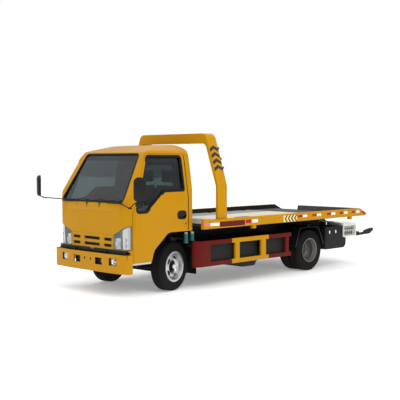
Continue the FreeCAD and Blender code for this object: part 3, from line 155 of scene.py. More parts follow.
YELLOW = (0.5, 0.235, 0.0004)
BED_YELLOW = (0.52, 0.245, 0.0006)
M = {
    "body_paint": surface("Body paint", YELLOW, 0.3, coat=0.1, vary=0.03, bump=0.03, dust=0.03, spec=0.08),
    "bumper_paint": surface("Bumper paint", YELLOW, 0.34, coat=0.1, vary=0.03, bump=0.04, dust=0.03, spec=0.08),
    "bed_paint": surface("Bed paint", BED_YELLOW, 0.4, coat=0.04, scale=3, bump=0.08, spec=0.08),
    "guard_yellow": surface("Guard yellow", BED_YELLOW, 0.42, coat=0.04, vary=0.05, bump=0.06, dust=0.08,
                            spec=0.08),
    "guard_red": surface("Guard red", (0.115, 0.007, 0.005), 0.42, coat=0.03, vary=0.08, bump=0.06, dust=0.06,
                         spec=0.06),
    "white_paint": surface("White paint", (0.78, 0.77, 0.73), 0.42, coat=0.2, vary=0.04, bump=0.05),
    "chassis_black": surface("Chassis black", (0.007, 0.007, 0.0075), 0.55, vary=0.3, scale=9, bump=0.25,
                             bump_scale=140, dust=0.1, spec=0.2),
    "engine_metal": surface("Engine metal", (0.17, 0.17, 0.165), metal=0.7, vary=0.2, bump=0.4),
    "cast_iron": surface("Cast iron", (0.03, 0.03, 0.031), 0.62, metal=0.3, vary=0.3, scale=14, bump=0.6,
                         bump_scale=160, dust=0.4),
    "exhaust_steel": surface("Exhaust steel", (0.16, 0.13, 0.11), metal=0.8, vary=0.35, scale=8, bump=0.3),
    "spring_steel": surface("Spring steel", (0.035, 0.035, 0.037), metal=0.5, vary=0.25, bump=0.4),
    "polished_rod": surface("Polished rod", (0.75, 0.76, 0.78), 0.12, metal=1.0, vary=0.02),
    "rim_silver": surface("Rim silver", (0.55, 0.56, 0.58), 0.3, metal=0.85, vary=0.05, bump=0.08, dust=0.12),
    "rim_grey": surface("Rim grey", (0.17, 0.17, 0.174), 0.4, metal=0.5, vary=0.12, bump=0.1, dust=0.4),
    "tyre": surface("Tyre rubber", (0.0045, 0.0045, 0.0048), 0.85, vary=0.2, scale=20, bump=0.5,
                    bump_scale=260, dust=0.07, spec=0.12),
    # Window glass: a teal tint, darkened further to paint in the dark reflections on the windows
    "glass": clear("Window glass darkened for painted reflection", (0.2, 0.26, 0.27)),
    "lamp_lens": clear("Lamp lens", (0.93, 0.95, 0.96)),
    "lamp_red": surface("Red lamp", (0.5, 0.012, 0.01), 0.18, coat=0.4, vary=0.05),
    "black_plastic": surface("Black plastic", (0.007, 0.007, 0.0075), 0.4, vary=0.15, bump=0.35,
                             bump_scale=420, spec=0.25),
    "dark_plastic": surface("Dark plastic", (0.06, 0.062, 0.066), 0.6, vary=0.12, bump=0.4, bump_scale=380),
    "dash_grey": surface("Dashboard", (0.16, 0.17, 0.18), 0.7, vary=0.1, bump=0.4, bump_scale=380),
    "bottle_plastic": surface("Bottle plastic", (0.05, 0.27, 0.28), 0.38, vary=0.08),
    "seat_fabric": surface("Woven fabric", (0.11, 0.113, 0.12), 0.9, vary=0.14, scale=40, bump=0.7,
                           bump_scale=700, Sheen_Weight=0.3),
    "cabin_trim": surface("Cabin trim", (0.045, 0.045, 0.047), 0.75, vary=0.08, bump=0.4),
    "seal": surface("Rubber seal", (0.005, 0.005, 0.0055), vary=0.1, spec=0.2),
    "tint_band": clear("Tinted band", (0.015, 0.07, 0.08)),
    "chrome": surface("Chrome", (0.86, 0.87, 0.88), 0.07, metal=1.0, vary=0.01),
    "reflector": surface("Lamp bowl", (0.8, 0.81, 0.83), 0.12, metal=1.0, vary=0.02),
    "smoked": surface("Lamp bezel", (0.06, 0.065, 0.07), 0.22, metal=0.4, coat=0.8, vary=0.05),
    "amber": surface("Amber lamp", (0.8, 0.22, 0.02), 0.18, coat=0.9, vary=0.03),
    "clear_ribs": surface("Turn lamp", (0.86, 0.87, 0.88), 0.14, coat=0.9, vary=0.05, metal=0.25),
    "reflect_red": surface("Reflective red", (0.42, 0.01, 0.01), 0.35, coat=0.05, vary=0.04, spec=0.1),
    "salmon": surface("Salmon strip", (0.72, 0.15, 0.09), 0.35, coat=0.3, vary=0.04),
    "reflect_white": surface("Reflective white", (0.86, 0.85, 0.8), 0.3, coat=0.5, vary=0.03),
    "maroon": surface("Maroon panel", (0.12, 0.008, 0.008), 0.4, coat=0.03, vary=0.12, scale=14, spec=0.1),
    "pale_yellow": surface("Pale yellow sheet", (0.88, 0.7, 0.28), 0.35, coat=0.3, vary=0.04),
    "mark_black": surface("Black mark", (0.012, 0.012, 0.012), 0.4, vary=0.1),
    # Floor paint: a pale cream, lighter than the deck's yellow because a painted sky glare is laid into it
    "cream": surface("Bed floor paint with painted glare", (0.62, 0.58, 0.47), 0.6, vary=0.14, scale=3, bump=0.3, bump_scale=60),
    "deck_dark": surface("Deck steel", (0.06, 0.058, 0.055), 0.62, metal=0.3, vary=0.35, scale=6, bump=0.5),
    "mesh_steel": surface("Grip strip", (0.3, 0.3, 0.3), metal=0.6, vary=0.3, scale=60, bump=0.5),
    "rope": surface("Wire rope", (0.22, 0.21, 0.2), 0.42, metal=0.9, vary=0.2, scale=60),
    "arm_brown": surface("Arm joint", (0.42, 0.13, 0.03), vary=0.1),
    "label_pale": surface("Lever panel", (0.42, 0.42, 0.4), vary=0.35, scale=45),
    "mirror_glass": surface("Mirror glass", (0.86, 0.88, 0.9), 0.02, metal=1.0, vary=0.0),
}


# Shapes in two dimensions

def rounded(corners, steps=6):
    # Closed outline with corners rounded by the radius given as a third value
    pts = []
    count = len(corners)
    for i, corner in enumerate(corners):
        here = Vector(corner[:2])
        radius = corner[2] if len(corner) > 2 else 0
        before = Vector(corners[i - 1][:2]) - here
        after = Vector(corners[(i + 1) % count][:2]) - here
        a, b = before.normalized(), after.normalized()
        half = math.acos(max(-1, min(1, a.dot(b)))) / 2
        if not radius or half < 0.02 or half > math.pi / 2 - 0.01:
            pts.append(here)
            continue
        run = min(radius / math.tan(half), before.length * 0.499, after.length * 0.499)
        radius = run * math.tan(half)
        centre = here + (a + b).normalized() * radius / math.sin(half)
        start, end = here + a * run - centre, here + b * run - centre
        turn = math.atan2(start.x * end.y - start.y * end.x, start.dot(end))
        for k in range(steps + 1):
            t = turn * k / steps
            pts.append(centre + Vector((start.x * math.cos(t) - start.y * math.sin(t),
                                        start.x * math.sin(t) + start.y * math.cos(t))))
    return pts


def offset(pts, by):
    # Closed outline pushed outward by a distance, inward when it is negative
    area = sum(p.x * q.y - p.y * q.x for p, q in zip(pts, pts[1:] + pts[:1]))
    sign = 1 if area > 0 else -1
    made = []
    count = len(pts)
    for i, p in enumerate(pts):
        a, b = p - pts[i - 1], pts[(i + 1) % count] - p
        if a.length < 1e-9:
            a = b
        if b.length < 1e-9:
            b = a
        na = Vector((a.y, -a.x)).normalized() * sign
        nb = Vector((b.y, -b.x)).normalized() * sign
        mid = na + nb
        if mid.length < 1e-6:
            mid = na
        mid.normalize()
        made.append(p + mid * by / max(0.35, mid.dot(na)))
    return made


def rectangle(u0, u1, v0, v1, radius, steps):
    return rounded([(u0, v0, radius), (u1, v0, radius), (u1, v1, radius), (u0, v1, radius)], steps)


def dense(points, step=0.008):
    # The same points with more between them, hardly more than a step apart
    points = [Vector(p) for p in points]
    made = [points[0]]
    for a, b in zip(points, points[1:]):
        n = max(1, int((b - a).length / step))
        made += [a + (b - a) * k / n for k in range(1, n + 1)]
    return made


def circle(steps):
    # The cosine and sine of equal steps round a circle
    return [(math.cos(2 * math.pi * k / steps), math.sin(2 * math.pi * k / steps)) for k in range(steps)]


# Solids

def about(centre, half):
    # The two ends of a length given by its middle
    return centre - half, centre + half


def block(bm, x, y, z, mat=0):
    xs, ys, zs = sorted(x), sorted(y), sorted(z)
    v = [bm.verts.new((a, b, c)) for a in xs for b in ys for c in zs]
    for quad in ((0, 1, 3, 2), (4, 6, 7, 5), (0, 4, 5, 1), (2, 3, 7, 6), (0, 2, 6, 4), (1, 5, 7, 3)):
        bm.faces.new([v[i] for i in quad]).material_index = mat
    return v


def weave(bm, loops, mat, closed=False):
    # Quads between each loop of vertices and the next, and from the last to the first when closed
    for a, b in zip(loops, loops[1:] + loops[:1] if closed else loops[1:]):
        for k in range(len(a)):
            m = (k + 1) % len(a)
            corners = list(dict.fromkeys((a[k], a[m], b[m], b[k])))
            if len(corners) > 2:
                bm.faces.new(corners).material_index = mat


def capped(bm, loops, mat):
    # The loops woven together with a face on the first and on the last
    weave(bm, loops, mat)
    for end in (loops[0], loops[-1][::-1]):
        bm.faces.new(end).material_index = mat
    return [v for loop in loops for v in loop]


def prism(bm, pts, axis, span, mat=0, taper=0.0):
    # An outline drawn out along the x or y axis, with its far end drawn in by taper
    loops = []
    for h, end in zip(span, (pts, offset(pts, -taper) if taper else pts)):
        loops.append([bm.verts.new((h, a, b) if axis == "x" else (a, h, b)) for a, b in end])
    return capped(bm, loops, mat)


def skin(bm, pts, put, front, back, mat=0):
    # A plate whose outline put(p, depth) lays on a surface, between two depths
    capped(bm, [[bm.verts.new(put(p, depth)) for p in pts] for depth in (front, back)], mat)


def ring(bm, outline, wider, narrower, put, front=0.003, back=-0.030):
    # A closed band about an outline, laid on a surface as a skin is
    loops = []
    for p, q in zip(offset(outline, wider), offset(outline, -narrower)):
        loops.append([bm.verts.new(put(*corner)) for corner in ((p, front), (q, front), (q, back), (p, back))])
    weave(bm, loops, 0, True)


def lathe(bm, profile, steps=48, mat=0, closed=True):
    # Profile of (height, radius) turned about the y axis
    rings = []
    for h, r in profile:
        if r < 1e-6:
            rings.append([bm.verts.new((0, h, 0))] * steps)
        else:
            rings.append([bm.verts.new((r * c, h, r * s)) for c, s in circle(steps)])
    weave(bm, rings, mat, closed)
    return list(set(v for row in rings for v in row))


def tube(bm, path, radius, steps=12, mat=0):
    # A round bar along a path
    path = [Vector(p) for p in path]
    rows = []
    for i, p in enumerate(path):
        along = (path[min(i + 1, len(path) - 1)] - path[max(i - 1, 0)]).normalized()
        side = along.cross(Vector((0, 0, 1)))
        if side.length < 0.1:
            side = along.cross(Vector((0, 1, 0)))
        side.normalize()
        over = side.cross(along).normalized()
        rows.append([bm.verts.new(p + (side * c + over * s) * radius) for c, s in circle(steps)])
    capped(bm, rows, mat)


def smooth_path(points, steps=5):
    # Points with each inner corner replaced by a short curve
    points = [Vector(p) for p in points]
    made = [points[0]]
    for a, b, c in zip(points, points[1:], points[2:]):
        run = min((b - a).length, (c - b).length) * 0.4
        p, q = b + (a - b).normalized() * run, b + (c - b).normalized() * run
        for k in range(steps + 1):
            t = k / steps
            made.append(p * (1 - t) ** 2 + b * 2 * t * (1 - t) + q * t * t)
    made.append(points[-1])
    return made


def rod(bm, a, b, radius, steps=16, mat=0):
    tube(bm, [a, b], radius, steps, mat)


def shift(x, y, z):
    return Matrix.Translation((x, y, z))


def move(verts, matrix):
    for v in verts:
        v.co = matrix @ v.co


def new_object(name, data):
    made = bpy.data.objects.new(name, data)
    scene.collection.objects.link(made)
    return made


def piece(name, bm, mats, body, bevel=0.0, segments=2, angle=35.0, stands_for=()):
    # A finished piece in the part's frame that rides on a body
    bmesh.ops.recalc_face_normals(bm, faces=bm.faces)
    mesh = bpy.data.meshes.new(name)
    bm.to_mesh(mesh)
    bm.free()
    mesh.transform(Matrix.Translation(SHIFT))
    mats = [mats] if isinstance(mats, str) else mats
    for key in mats:
        mesh.materials.append(M[key])
    mesh.shade_smooth()
    mesh.set_sharp_from_angle(angle=math.radians(angle))
    made = new_object(name, mesh)
    if bevel:
        mod = made.modifiers.new("Edges", "BEVEL")
        mod.width = bevel
        mod.segments = segments
        mod.limit_method = "ANGLE"
        mod.angle_limit = math.radians(max(angle, 30))
        mod.harden_normals = True
    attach(made, body)
    if stands_for:
        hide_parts(*stands_for)
    return made


def dress(name, cad, mats, bevel=0.003, segments=2, rule=None, cuts=()):
    # The shape of a CAD node with softened edges and a finish that rule(centre, normal) chooses face by face
    bm = bmesh.new()
    bm.from_mesh(NODES[cad].data)
    bmesh.ops.remove_doubles(bm, verts=bm.verts, dist=5e-5)
    bmesh.ops.translate(bm, verts=bm.verts, vec=(-AX, 0, 0))
    bmesh.ops.dissolve_limit(bm, angle_limit=math.radians(1.0), verts=bm.verts, edges=bm.edges)
    for point, normal in cuts:
        bmesh.ops.bisect_plane(bm, geom=[*bm.verts, *bm.edges, *bm.faces], dist=1e-5,
                               plane_co=point, plane_no=normal)
    bm.normal_update()
    for f in bm.faces:
        f.material_index = rule(f.calc_center_median(), f.normal) if rule else 0
    return piece(name, bm, mats, BODY_OF[cad], bevel, segments, angle=32, stands_for=(cad,))


for cad_node in NODES.values():
    for spot in cad_node.material_slots:
        base = spot.material.name.split(".")[0]
        if base in M:
            spot.material = M[base]


# Cab

SIDE_FRONT_VIEW = rounded([(CAB_HALF_W, 0.40), (CAB_HALF_W, 1.40, 0.9), (0.75, 2.01, 0.5), (0.715, 2.15, 0.09),
                           (0.52, 2.25, 0.5), (0, 2.25)], 10)


def side_y(z):
    # Half width of the cab's skin at a height
    for p, q in zip(SIDE_FRONT_VIEW, SIDE_FRONT_VIEW[1:]):
        if p.y <= z <= q.y and q.y > p.y:
            return p.x + (q.x - p.x) * (z - p.y) / (q.y - p.y)
    return CAB_HALF_W


SCREEN_LOW, SCREEN_HIGH = Vector((0.946, 0, 1.392)), Vector((0.505, 0, 2.134))
SCREEN_UP = (SCREEN_HIGH - SCREEN_LOW).normalized()
SCREEN_OUT = Vector((SCREEN_UP.z, 0, -SCREEN_UP.x))


def on_screen(p, depth):
    # The point (y, z) seen from the front, on the windscreen's plane and raised by depth
    x = SCREEN_LOW.x + (p[1] - SCREEN_LOW.z) * SCREEN_UP.x / SCREEN_UP.z
    return Vector((x, p[0], p[1])) + SCREEN_OUT * depth


def cab_rule(c, n):
    # Paint outside, trim on what faces the cabin's middle, black below and inside the step
    inside = -0.365 < c.x < 0.93 and abs(c.y) < 0.812 and 0.66 < c.z < 2.225
    centre = Vector((0.2, 0, 1.55))
    if inside and n.dot(centre - c) > 0 and not (c.x > 0.83 and c.z < 1.3):
        return 1
    below = n.z < -0.5 and c.z < 1.0
    in_step = 0.5 < c.z < 0.7 and 0.48 < c.x < 0.84 and abs(c.y) < 0.848
    return 2 if below or in_step else 0


dress("cab_shell_skin", "cab_shell", ["body_paint", "cabin_trim", "chassis_black"], 0.006, 3, cab_rule)
WINDOW = rounded([(0.795, 1.24, 0.05), (0.484, 2.072, 0.06), (-0.222, 2.072, 0.04), (-0.222, 1.545, 0.03),
                  (0.196, 1.543, 0.06), (0.574, 1.24, 0.06)], 5)
SCREEN = rounded([(0.738, 1.396, 0.05), (0.622, 2.104, 0.06), (-0.622, 2.104, 0.06), (-0.738, 1.396, 0.05)], 5)


def door_rule(c, n):
    # Trim on what faces into the cabin
    return int(n.y * math.copysign(1, c.y) < -0.2 and abs(c.y) < 0.83)


for side, label in SIDES:
    def on_side(p, depth):
        # The point (x, z) seen from the side, on the cab's skin and raised by depth
        return Vector((p[0], side * (side_y(p[1]) + depth), p[1]))
    door = f"door_{label}"
    dress(door + "_skin", door, ["body_paint", "cabin_trim"], 0.004, rule=door_rule)
    bm = bmesh.new()
    ring(bm, WINDOW, 0.018, 0.022, on_side)
    piece(door + "_window_seal", bm, "seal", door, 0.003)
    bm = bmesh.new()
    grip = rectangle(-0.243, -0.057, 1.107, 1.230, 0.05, 5)
    ring(bm, grip, 0.006, 0.006, on_side)
    skin(bm, offset(grip, -0.004), on_side, -0.024, -0.032)
    skin(bm, rectangle(-0.232, -0.068, 1.155, 1.222, 0.02, 4), on_side, -0.001, -0.012)
    piece(door + "_handle", bm, "black_plastic", door, 0.002)
    bm = bmesh.new()
    skin(bm, [(-0.232 + 0.018 * c, 1.038 + 0.018 * s) for c, s in circle(20)], on_side, 0.004, -0.01)
    piece(door + "_lock", bm, "chrome", door, 0.001)
    bm = bmesh.new()
    inner = rounded([(-0.24, 0.97, 0.04), (0.62, 0.97, 0.06), (0.70, 1.18, 0.04), (-0.24, 1.18, 0.03)], 4)
    prism(bm, inner, "y", (side * 0.772, side * 0.795))
    block(bm, (-0.05, 0.30), (side * 0.735, side * 0.775), (1.06, 1.10))
    piece(door + "_armrest", bm, "dark_plastic", door, 0.006)

bm = bmesh.new()
ring(bm, SCREEN, 0.012, 0.014, on_screen)
piece("windscreen_surround", bm, "seal", "cab", 0.003)
TINT_Z = 2.005
dress("cab_glazing", "cab_glass", ["glass", "tint_band"], 0.0, rule=lambda c, n: int(c.x > 0 and c.z > TINT_Z),
      cuts=[((0, 0, TINT_Z), (0, 0, 1))])
dress("grille_plate", "grille", "body_paint")


def bumper_trim_and_shade_rule(c, n):
    # Black on its back; black on its upper step, trim that also stands for painted shade under the grille; black
    # inside its holes, painted shade
    shaded_hole_wall = abs(n.x) < 0.3 and c.x > 0.9 and 0.45 < c.z < 0.575 and abs(c.y) < 0.66
    return int(n.x < -0.3 or n.z > 0.7 or shaded_hole_wall)


dress("bumper_skin", "bumper", ["bumper_paint", "black_plastic"], 0.005, 3, bumper_trim_and_shade_rule)
bm = bmesh.new()
block(bm, (0.875, 0.895), (-0.49, 0.49), (0.70, 0.90))
for low, high in ((-0.455, -0.295), (-0.178, 0.178), (0.295, 0.455)):
    for z in (0.733, 0.745, 0.757, 0.823, 0.835, 0.847):
        block(bm, (0.893, 0.915), (low, high), about(z, 0.002))
piece("grille_backing", bm, "black_plastic", "cab")
dress("wiper_set", "wipers", "black_plastic", 0.001)
dress("steering_wheel_skin", "steering_wheel", "dark_plastic")


# Wheels

TYRE_PROFILE = [(-0.078, 0.206), (-0.096, 0.212), (-0.099, 0.236), (-0.0995, 0.285), (-0.097, 0.325),
                (-0.092, 0.350), (-0.083, 0.366), (-0.076, 0.371), (-0.060, TYRE_R), (-0.058, 0.365),
                (-0.050, 0.365), (-0.048, TYRE_R), (-0.020, TYRE_R), (-0.018, 0.364), (-0.010, 0.364),
                (-0.008, TYRE_R)]
BAR_COUNT = 54


def tyre_mesh(bm, y):
    # A tyre standing on the ground at y
    verts = lathe(bm, TYRE_PROFILE + [(-h, r) for h, r in reversed(TYRE_PROFILE)], 72)
    # Shoulder blocks: short cross bars round both edges of the tread
    for k in range(BAR_COUNT):
        for s in (1, -1):
            bar = block(bm, (-0.0085, 0.0085), (s * 0.062, s * 0.0925), (0.345, 0.3728))
            for v in bar:
                if abs(v.co.y) > 0.08 and v.co.z > 0.36:
                    v.co.z = 0.3605
            move(bar, Matrix.Rotation(2 * math.pi * k / BAR_COUNT, 4, "Y"))
            verts.extend(bar)
    for s in (1, -1):
        for r0, r1 in ((0.243, 0.246), (0.300, 0.303)):
            verts.extend(lathe(bm, [(s * 0.0985, r0), (s * 0.1005, r0), (s * 0.1005, r1), (s * 0.0985, r1)], 72))
    move(verts, shift(0, y, TYRE_R))


def nuts(bm, radius, y, height):
    # Six wheel nuts about the hub
    profile = [(y, 0.0), (y, 0.015), (y + height * 0.7, 0.015), (y + height, 0.0105), (y + height, 0.0)]
    for k in range(6):
        move(lathe(bm, profile, 6, 1), Matrix.Rotation(math.pi * k / 3, 4, "Y") @ shift(radius, 0, 0))


def barrel(bm, lip=0.218):
    # Inside and outside of the rim with its bead seats, open in the middle
    outer = [(-0.104, 0.204), (-0.106, lip - 0.002), (-0.100, lip), (-0.090, 0.207), (-0.05, 0.203),
             (-0.02, 0.192), (0.04, 0.192), (0.06, 0.203), (0.090, 0.207), (0.100, lip), (0.106, lip - 0.002),
             (0.104, 0.204), (0.092, 0.199), (0.055, 0.194), (0.038, 0.184), (-0.02, 0.184), (-0.05, 0.194),
             (-0.092, 0.199)]
    return lathe(bm, outer, 64)


def disc_with_holes(profile, thick, holes, hole_r, hole_w, hole_h):
    # A wheel disc turned from a profile and given a thickness, with a ring of oval hand holes left out
    bm = bmesh.new()
    lathe(bm, profile, 120, closed=False)
    pitch = 2 * math.pi / holes
    gone = []
    for f in bm.faces:
        c = f.calc_center_median()
        away = math.atan2(c.z, c.x) % pitch - pitch / 2
        if ((math.hypot(c.x, c.z) - hole_r) / (hole_h / 2)) ** 2 + (away * hole_r / (hole_w / 2)) ** 2 < 1:
            gone.append(f)
    bmesh.ops.delete(bm, geom=gone, context="FACES")
    bmesh.ops.recalc_face_normals(bm, faces=bm.faces)
    bmesh.ops.solidify(bm, geom=bm.faces, thickness=thick)
    return bm


def front_wheel(side, label):
    # A single wheel, turned about its kingpin as it stands at rest
    pin = side * KINGPIN_Y
    turn = shift(0, pin, 0) @ Matrix.Rotation(STEER_REST, 4, "Z") @ shift(0, -pin, 0)
    body = f"wheel_front_{label}"
    bm = bmesh.new()
    tyre_mesh(bm, side * FRONT_WHEEL_Y)
    move(bm.verts, turn)
    piece(f"front_tyre_{label}", bm, "tyre", body, stands_for=(f"tyre_front_{label}",), angle=28)
    shape = dense([(0.030, 0.193), (0.052, 0.178), (0.070, 0.160), (0.078, 0.140), (0.080, 0.122),
                   (0.074, 0.108), (0.060, 0.094), (0.050, 0.084), (0.048, 0.0)])
    bm = disc_with_holes(shape, 0.008, 5, 0.148, 0.092, 0.058)
    barrel(bm, 0.238)
    lathe(bm, [(0.048, 0.052), (0.078, 0.050), (0.084, 0.044), (0.084, 0.0)], 32, 1, closed=False)
    lathe(bm, [(0.084, 0.032), (0.102, 0.030), (0.108, 0.022), (0.108, 0.0)], 28, 2, closed=False)
    nuts(bm, 0.068, 0.049, 0.022)
    lathe(bm, [(-0.04, 0.182), (0.020, 0.182), (0.034, 0.10), (-0.03, 0.10)], 40, 1)
    lathe(bm, [(0.0485, 0.092), (0.0515, 0.090), (0.0515, 0.052), (0.0485, 0.052)], 40, 1)
    move(bm.verts, turn @ shift(0, side * FRONT_WHEEL_Y, TYRE_R) @ Matrix.Scale(side, 4, (0, 1, 0)))
    piece(f"front_rim_{label}", bm, ["rim_silver", "black_plastic", "white_paint"], body,
          stands_for=(f"rim_front_{label}",), angle=30)


def rear_wheel(side, label):
    # Two tyres and two discs back to back on one hub
    body = f"wheel_rear_{label}"
    bm = bmesh.new()
    for y in REAR_WHEEL_YS:
        tyre_mesh(bm, side * y)
    move(bm.verts, shift(-WHEELBASE, 0, 0))
    piece(f"rear_tyres_{label}", bm, "tyre", body, stands_for=(f"tyres_rear_{label}",), angle=28)
    middle = sum(REAR_WHEEL_YS) / 2
    shape = dense([(0.785, 0.193), (0.765, 0.186), (0.725, 0.170), (0.706, 0.156), (0.700, 0.140), (0.700, 0.0)])
    bm = disc_with_holes(shape, 0.009, 6, 0.128, 0.052, 0.034)
    inner = disc_with_holes([(2 * middle - h, r) for h, r in shape], 0.009, 6, 0.128, 0.052, 0.034)
    extra = bpy.data.meshes.new("Inner disc")
    inner.to_mesh(extra)
    inner.free()
    bm.from_mesh(extra)
    bpy.data.meshes.remove(extra)
    for y in REAR_WHEEL_YS:
        move(barrel(bm), shift(0, y, 0))
    lathe(bm, [(0.700, 0.090), (0.712, 0.088), (0.722, 0.078), (0.726, 0.058), (0.775, 0.055), (0.788, 0.044),
               (0.788, 0.0)], 36, 1, closed=False)
    nuts(bm, 0.102, 0.701, 0.03)
    lathe(bm, [(0.54, 0.158), (0.65, 0.158), (0.65, 0.12), (0.54, 0.12)], 40, 1)
    move(bm.verts, shift(-WHEELBASE, 0, TYRE_R) @ Matrix.Scale(side, 4, (0, 1, 0)))
    piece(f"rear_rims_{label}", bm, ["rim_grey", "cast_iron"], body, stands_for=(f"rims_rear_{label}",),
          angle=30)


for side, label in SIDES:
    front_wheel(side, label)
    rear_wheel(side, label)


# Bed

# The rails' faces that look in towards the deck are black: painted shade on the rails' inner faces
dress("bed_rail_skin", "bed_rails", ["bed_paint", "chassis_black"], 0.004,
      rule=lambda c, n: int(n.y * c.y < -0.5))
dress("arch_skin", "arch", "bed_paint", 0.010, 3)
# The floor's top is cream with a painted sky glare from the arch back to x = -3.9, white in front of the arch, and
# dark deck steel behind that and on its sides
PAINTED_GLARE_END_X = -3.9
dress("bed_floor_plate", "bed_floor", ["cream", "white_paint", "deck_dark"], 0.001,
      rule=lambda c, n: 1 if c.x > -0.76 and c.z > DECK_Z else 2 * (c.x < PAINTED_GLARE_END_X or n.z < 0.3),
      cuts=[((PAINTED_GLARE_END_X, 0, 0), (1, 0, 0))])
dress("tail_ramp", "tail_plate", "deck_dark", 0.004)

# Reflective strips along the rails: front x, rear x, low z, high z, finish
STRIP_MATS = ["salmon", "reflect_white", "maroon", "reflect_red", "pale_yellow", "mark_black"]
STRIPS = [(-0.406, -0.523, 0.983, 1.043, "salmon"), (-0.541, -0.749, 0.983, 1.03, "reflect_white"),
          (-0.761, -1.360, 0.957, 1.041, "maroon"), (-1.385, -1.522, 0.983, 1.041, "reflect_red"),
          (-1.535, -1.688, 0.983, 1.036, "reflect_white")]
for start in (-2.776, -3.196, -3.642, -4.044, -4.449):
    STRIPS += [(start, start - 0.133, 1.004, 1.048, "reflect_red"),
               (start - 0.133, start - 0.264, 1.002, 1.046, "reflect_white")]
STRIPS.append((-2.370, -2.742, 0.948, 1.058, "pale_yellow"))
for side, label in SIDES:
    bm = bmesh.new()
    inside = side * (BED_HALF_W - 0.002)
    for x0, x1, z0, z1, mat in STRIPS:
        block(bm, (x0, x1), (inside, side * (BED_HALF_W + 0.0008)), (z0, z1), STRIP_MATS.index(mat))
    inside = side * (BED_HALF_W - 0.001)
    for k in range(4):
        x = -2.395 - k * 0.088
        prism(bm, ((x, 1.003), (x - 0.052, 1.058), (x - 0.092, 1.058), (x - 0.040, 1.003), (x - 0.092, 0.948),
                   (x - 0.052, 0.948)), "y", (inside, side * (BED_HALF_W + 0.0014)), 5)
    for k, mat in ((0, 3), (1, 1)):
        x, z = -4.80 - 0.125 * k, 1.042 - 0.0545 * k
        prism(bm, ((x, z), (x - 0.125, z - 0.0545), (x - 0.125, z - 0.1), (x, z - 0.046)), "y",
              (inside, side * (BED_HALF_W + 0.0008)), mat)
    piece(f"rail_strips_{label}", bm, STRIP_MATS, "bed")

# Arch chevrons on the leaning outer faces
for side, label in SIDES:
    foot, head = Vector((0, side * 1.050, 1.610)), Vector((0, side * 0.775, 2.440))
    up = (head - foot).normalized()
    out = Vector((0, side * up.z, -side * up.y))

    def lean(p, depth):
        return Vector((p[0], 0, 0)) + foot + up * p[1] + out * depth
    bm = bmesh.new()
    skin(bm, ((-0.752, 0.215), (-0.958, 0.215), (-0.958, 0.665), (-0.752, 0.665)), lean, 0.0008, -0.004)
    for k in range(4):
        s = 0.235 + k * 0.108
        skin(bm, ((-0.756, s), (-0.855, s + 0.052), (-0.954, s), (-0.954, s + 0.058), (-0.855, s + 0.110),
                  (-0.756, s + 0.058)), lean, 0.0016, -0.003, 1)
    piece(f"arch_marks_{label}", bm, ["bed_paint", "mark_black"], "bed")


# Chassis sides, wheel-lift and dashboard

GUARD_JOINS = (-1.14, -2.07)
dress("side_guard_skin", "side_guards", ["guard_red", "guard_yellow"],
      rule=lambda c, n: int(GUARD_JOINS[1] < c.x < GUARD_JOINS[0]),
      cuts=[((x, 0, 0), (1, 0, 0)) for x in GUARD_JOINS])
dress("chassis_frame_skin", "frame", "chassis_black", 0.002)
dress("fuel_tank_skin", "fuel_tank", "chassis_black", 0.008, 3)
dress("mudguard_skin", "mudguards", "black_plastic")
dress("wheel-lift_slide_skin", "underlift_slide", "chassis_black")
dress("wheel-lift_boom_skin", "underlift_boom", "chassis_black")
dress("dashboard_skin", "dashboard", "dash_grey", 0.008, 3)


# Nose of the cab: lamps, cowl, bumper

NOSE = rounded([(-0.40, CAB_HALF_W), (0.925, CAB_HALF_W, 0.155), (0.975, 0.30, 0.90), (0.975, 0.0),
                (-0.40, 0.0)], 14)
FRONT_VIEW = [(0.45, 0.929), (0.668, 0.929), (1.256, 0.949), (1.278, 0.973), (1.372, 0.975), (1.392, 0.946)]


def front_x(z):
    # How far forward the cab's front is at a height
    for p, q in zip(FRONT_VIEW, FRONT_VIEW[1:]):
        if z <= q[0]:
            return p[1] + (q[1] - p[1]) * (z - p[0]) / (q[0] - p[0])
    return FRONT_VIEW[-1][1]


def plan_path(inner_y, rear_x):
    # The nose's left corner in plan, from the side towards the middle, as (x, y, outward x, outward y)
    close = dense([p for p in NOSE if p.x > 0.0], 0.02)[:-1]
    made = []
    for a, b in zip(close, close[1:]):
        along = (b - a).normalized()
        if a.x >= rear_x and a.y >= inner_y - 1e-6:
            made.append((a.x, a.y, -along.y, along.x))
    return made


def nose_panel(bm, path, low, high, near, far, side, mat=0, rows=4):
    # A closed shell round the nose's corner; low to far are numbers or functions of the share of the path
    low, high, near, far = (v if callable(v) else lambda t, v=v: v for v in (low, high, near, far))
    columns = []
    for i, (x, y, out_x, out_y) in enumerate(path):
        t = i / (len(path) - 1)
        heights = [low(t) + (high(t) - low(t)) * k / rows for k in range(rows + 1)]
        columns.append([[bm.verts.new((min(x, front_x(z)) + out_x * depth, side * (y + out_y * depth), z))
                         for z in heights] for depth in (near(t), far(t))])
    quads = []
    for (a, b), (c, d) in zip(columns, columns[1:]):
        for k in range(rows):
            quads += [(a[k], c[k], c[k + 1], a[k + 1]), (b[k], b[k + 1], d[k + 1], d[k])]
        quads += [(a[0], b[0], d[0], c[0]), (a[rows], c[rows], d[rows], b[rows])]
    for a, b in (columns[0], columns[-1]):
        quads += [(a[k], a[k + 1], b[k + 1], b[k]) for k in range(rows)]
    for quad in quads:
        bm.faces.new(quad).material_index = mat


def lamp_top(y):
    # Upper edge of the headlamp, which rises towards the corner
    return min(0.905 + (y - 0.50) * 0.4667, 1.046)


def turned_round_x(bm, profile, at, steps, mat):
    # A lathe about a line along x: (distance forward, radius)
    move(lathe(bm, profile, steps, mat, closed=False), shift(*at) @ Matrix.Rotation(-math.pi / 2, 4, "Z"))


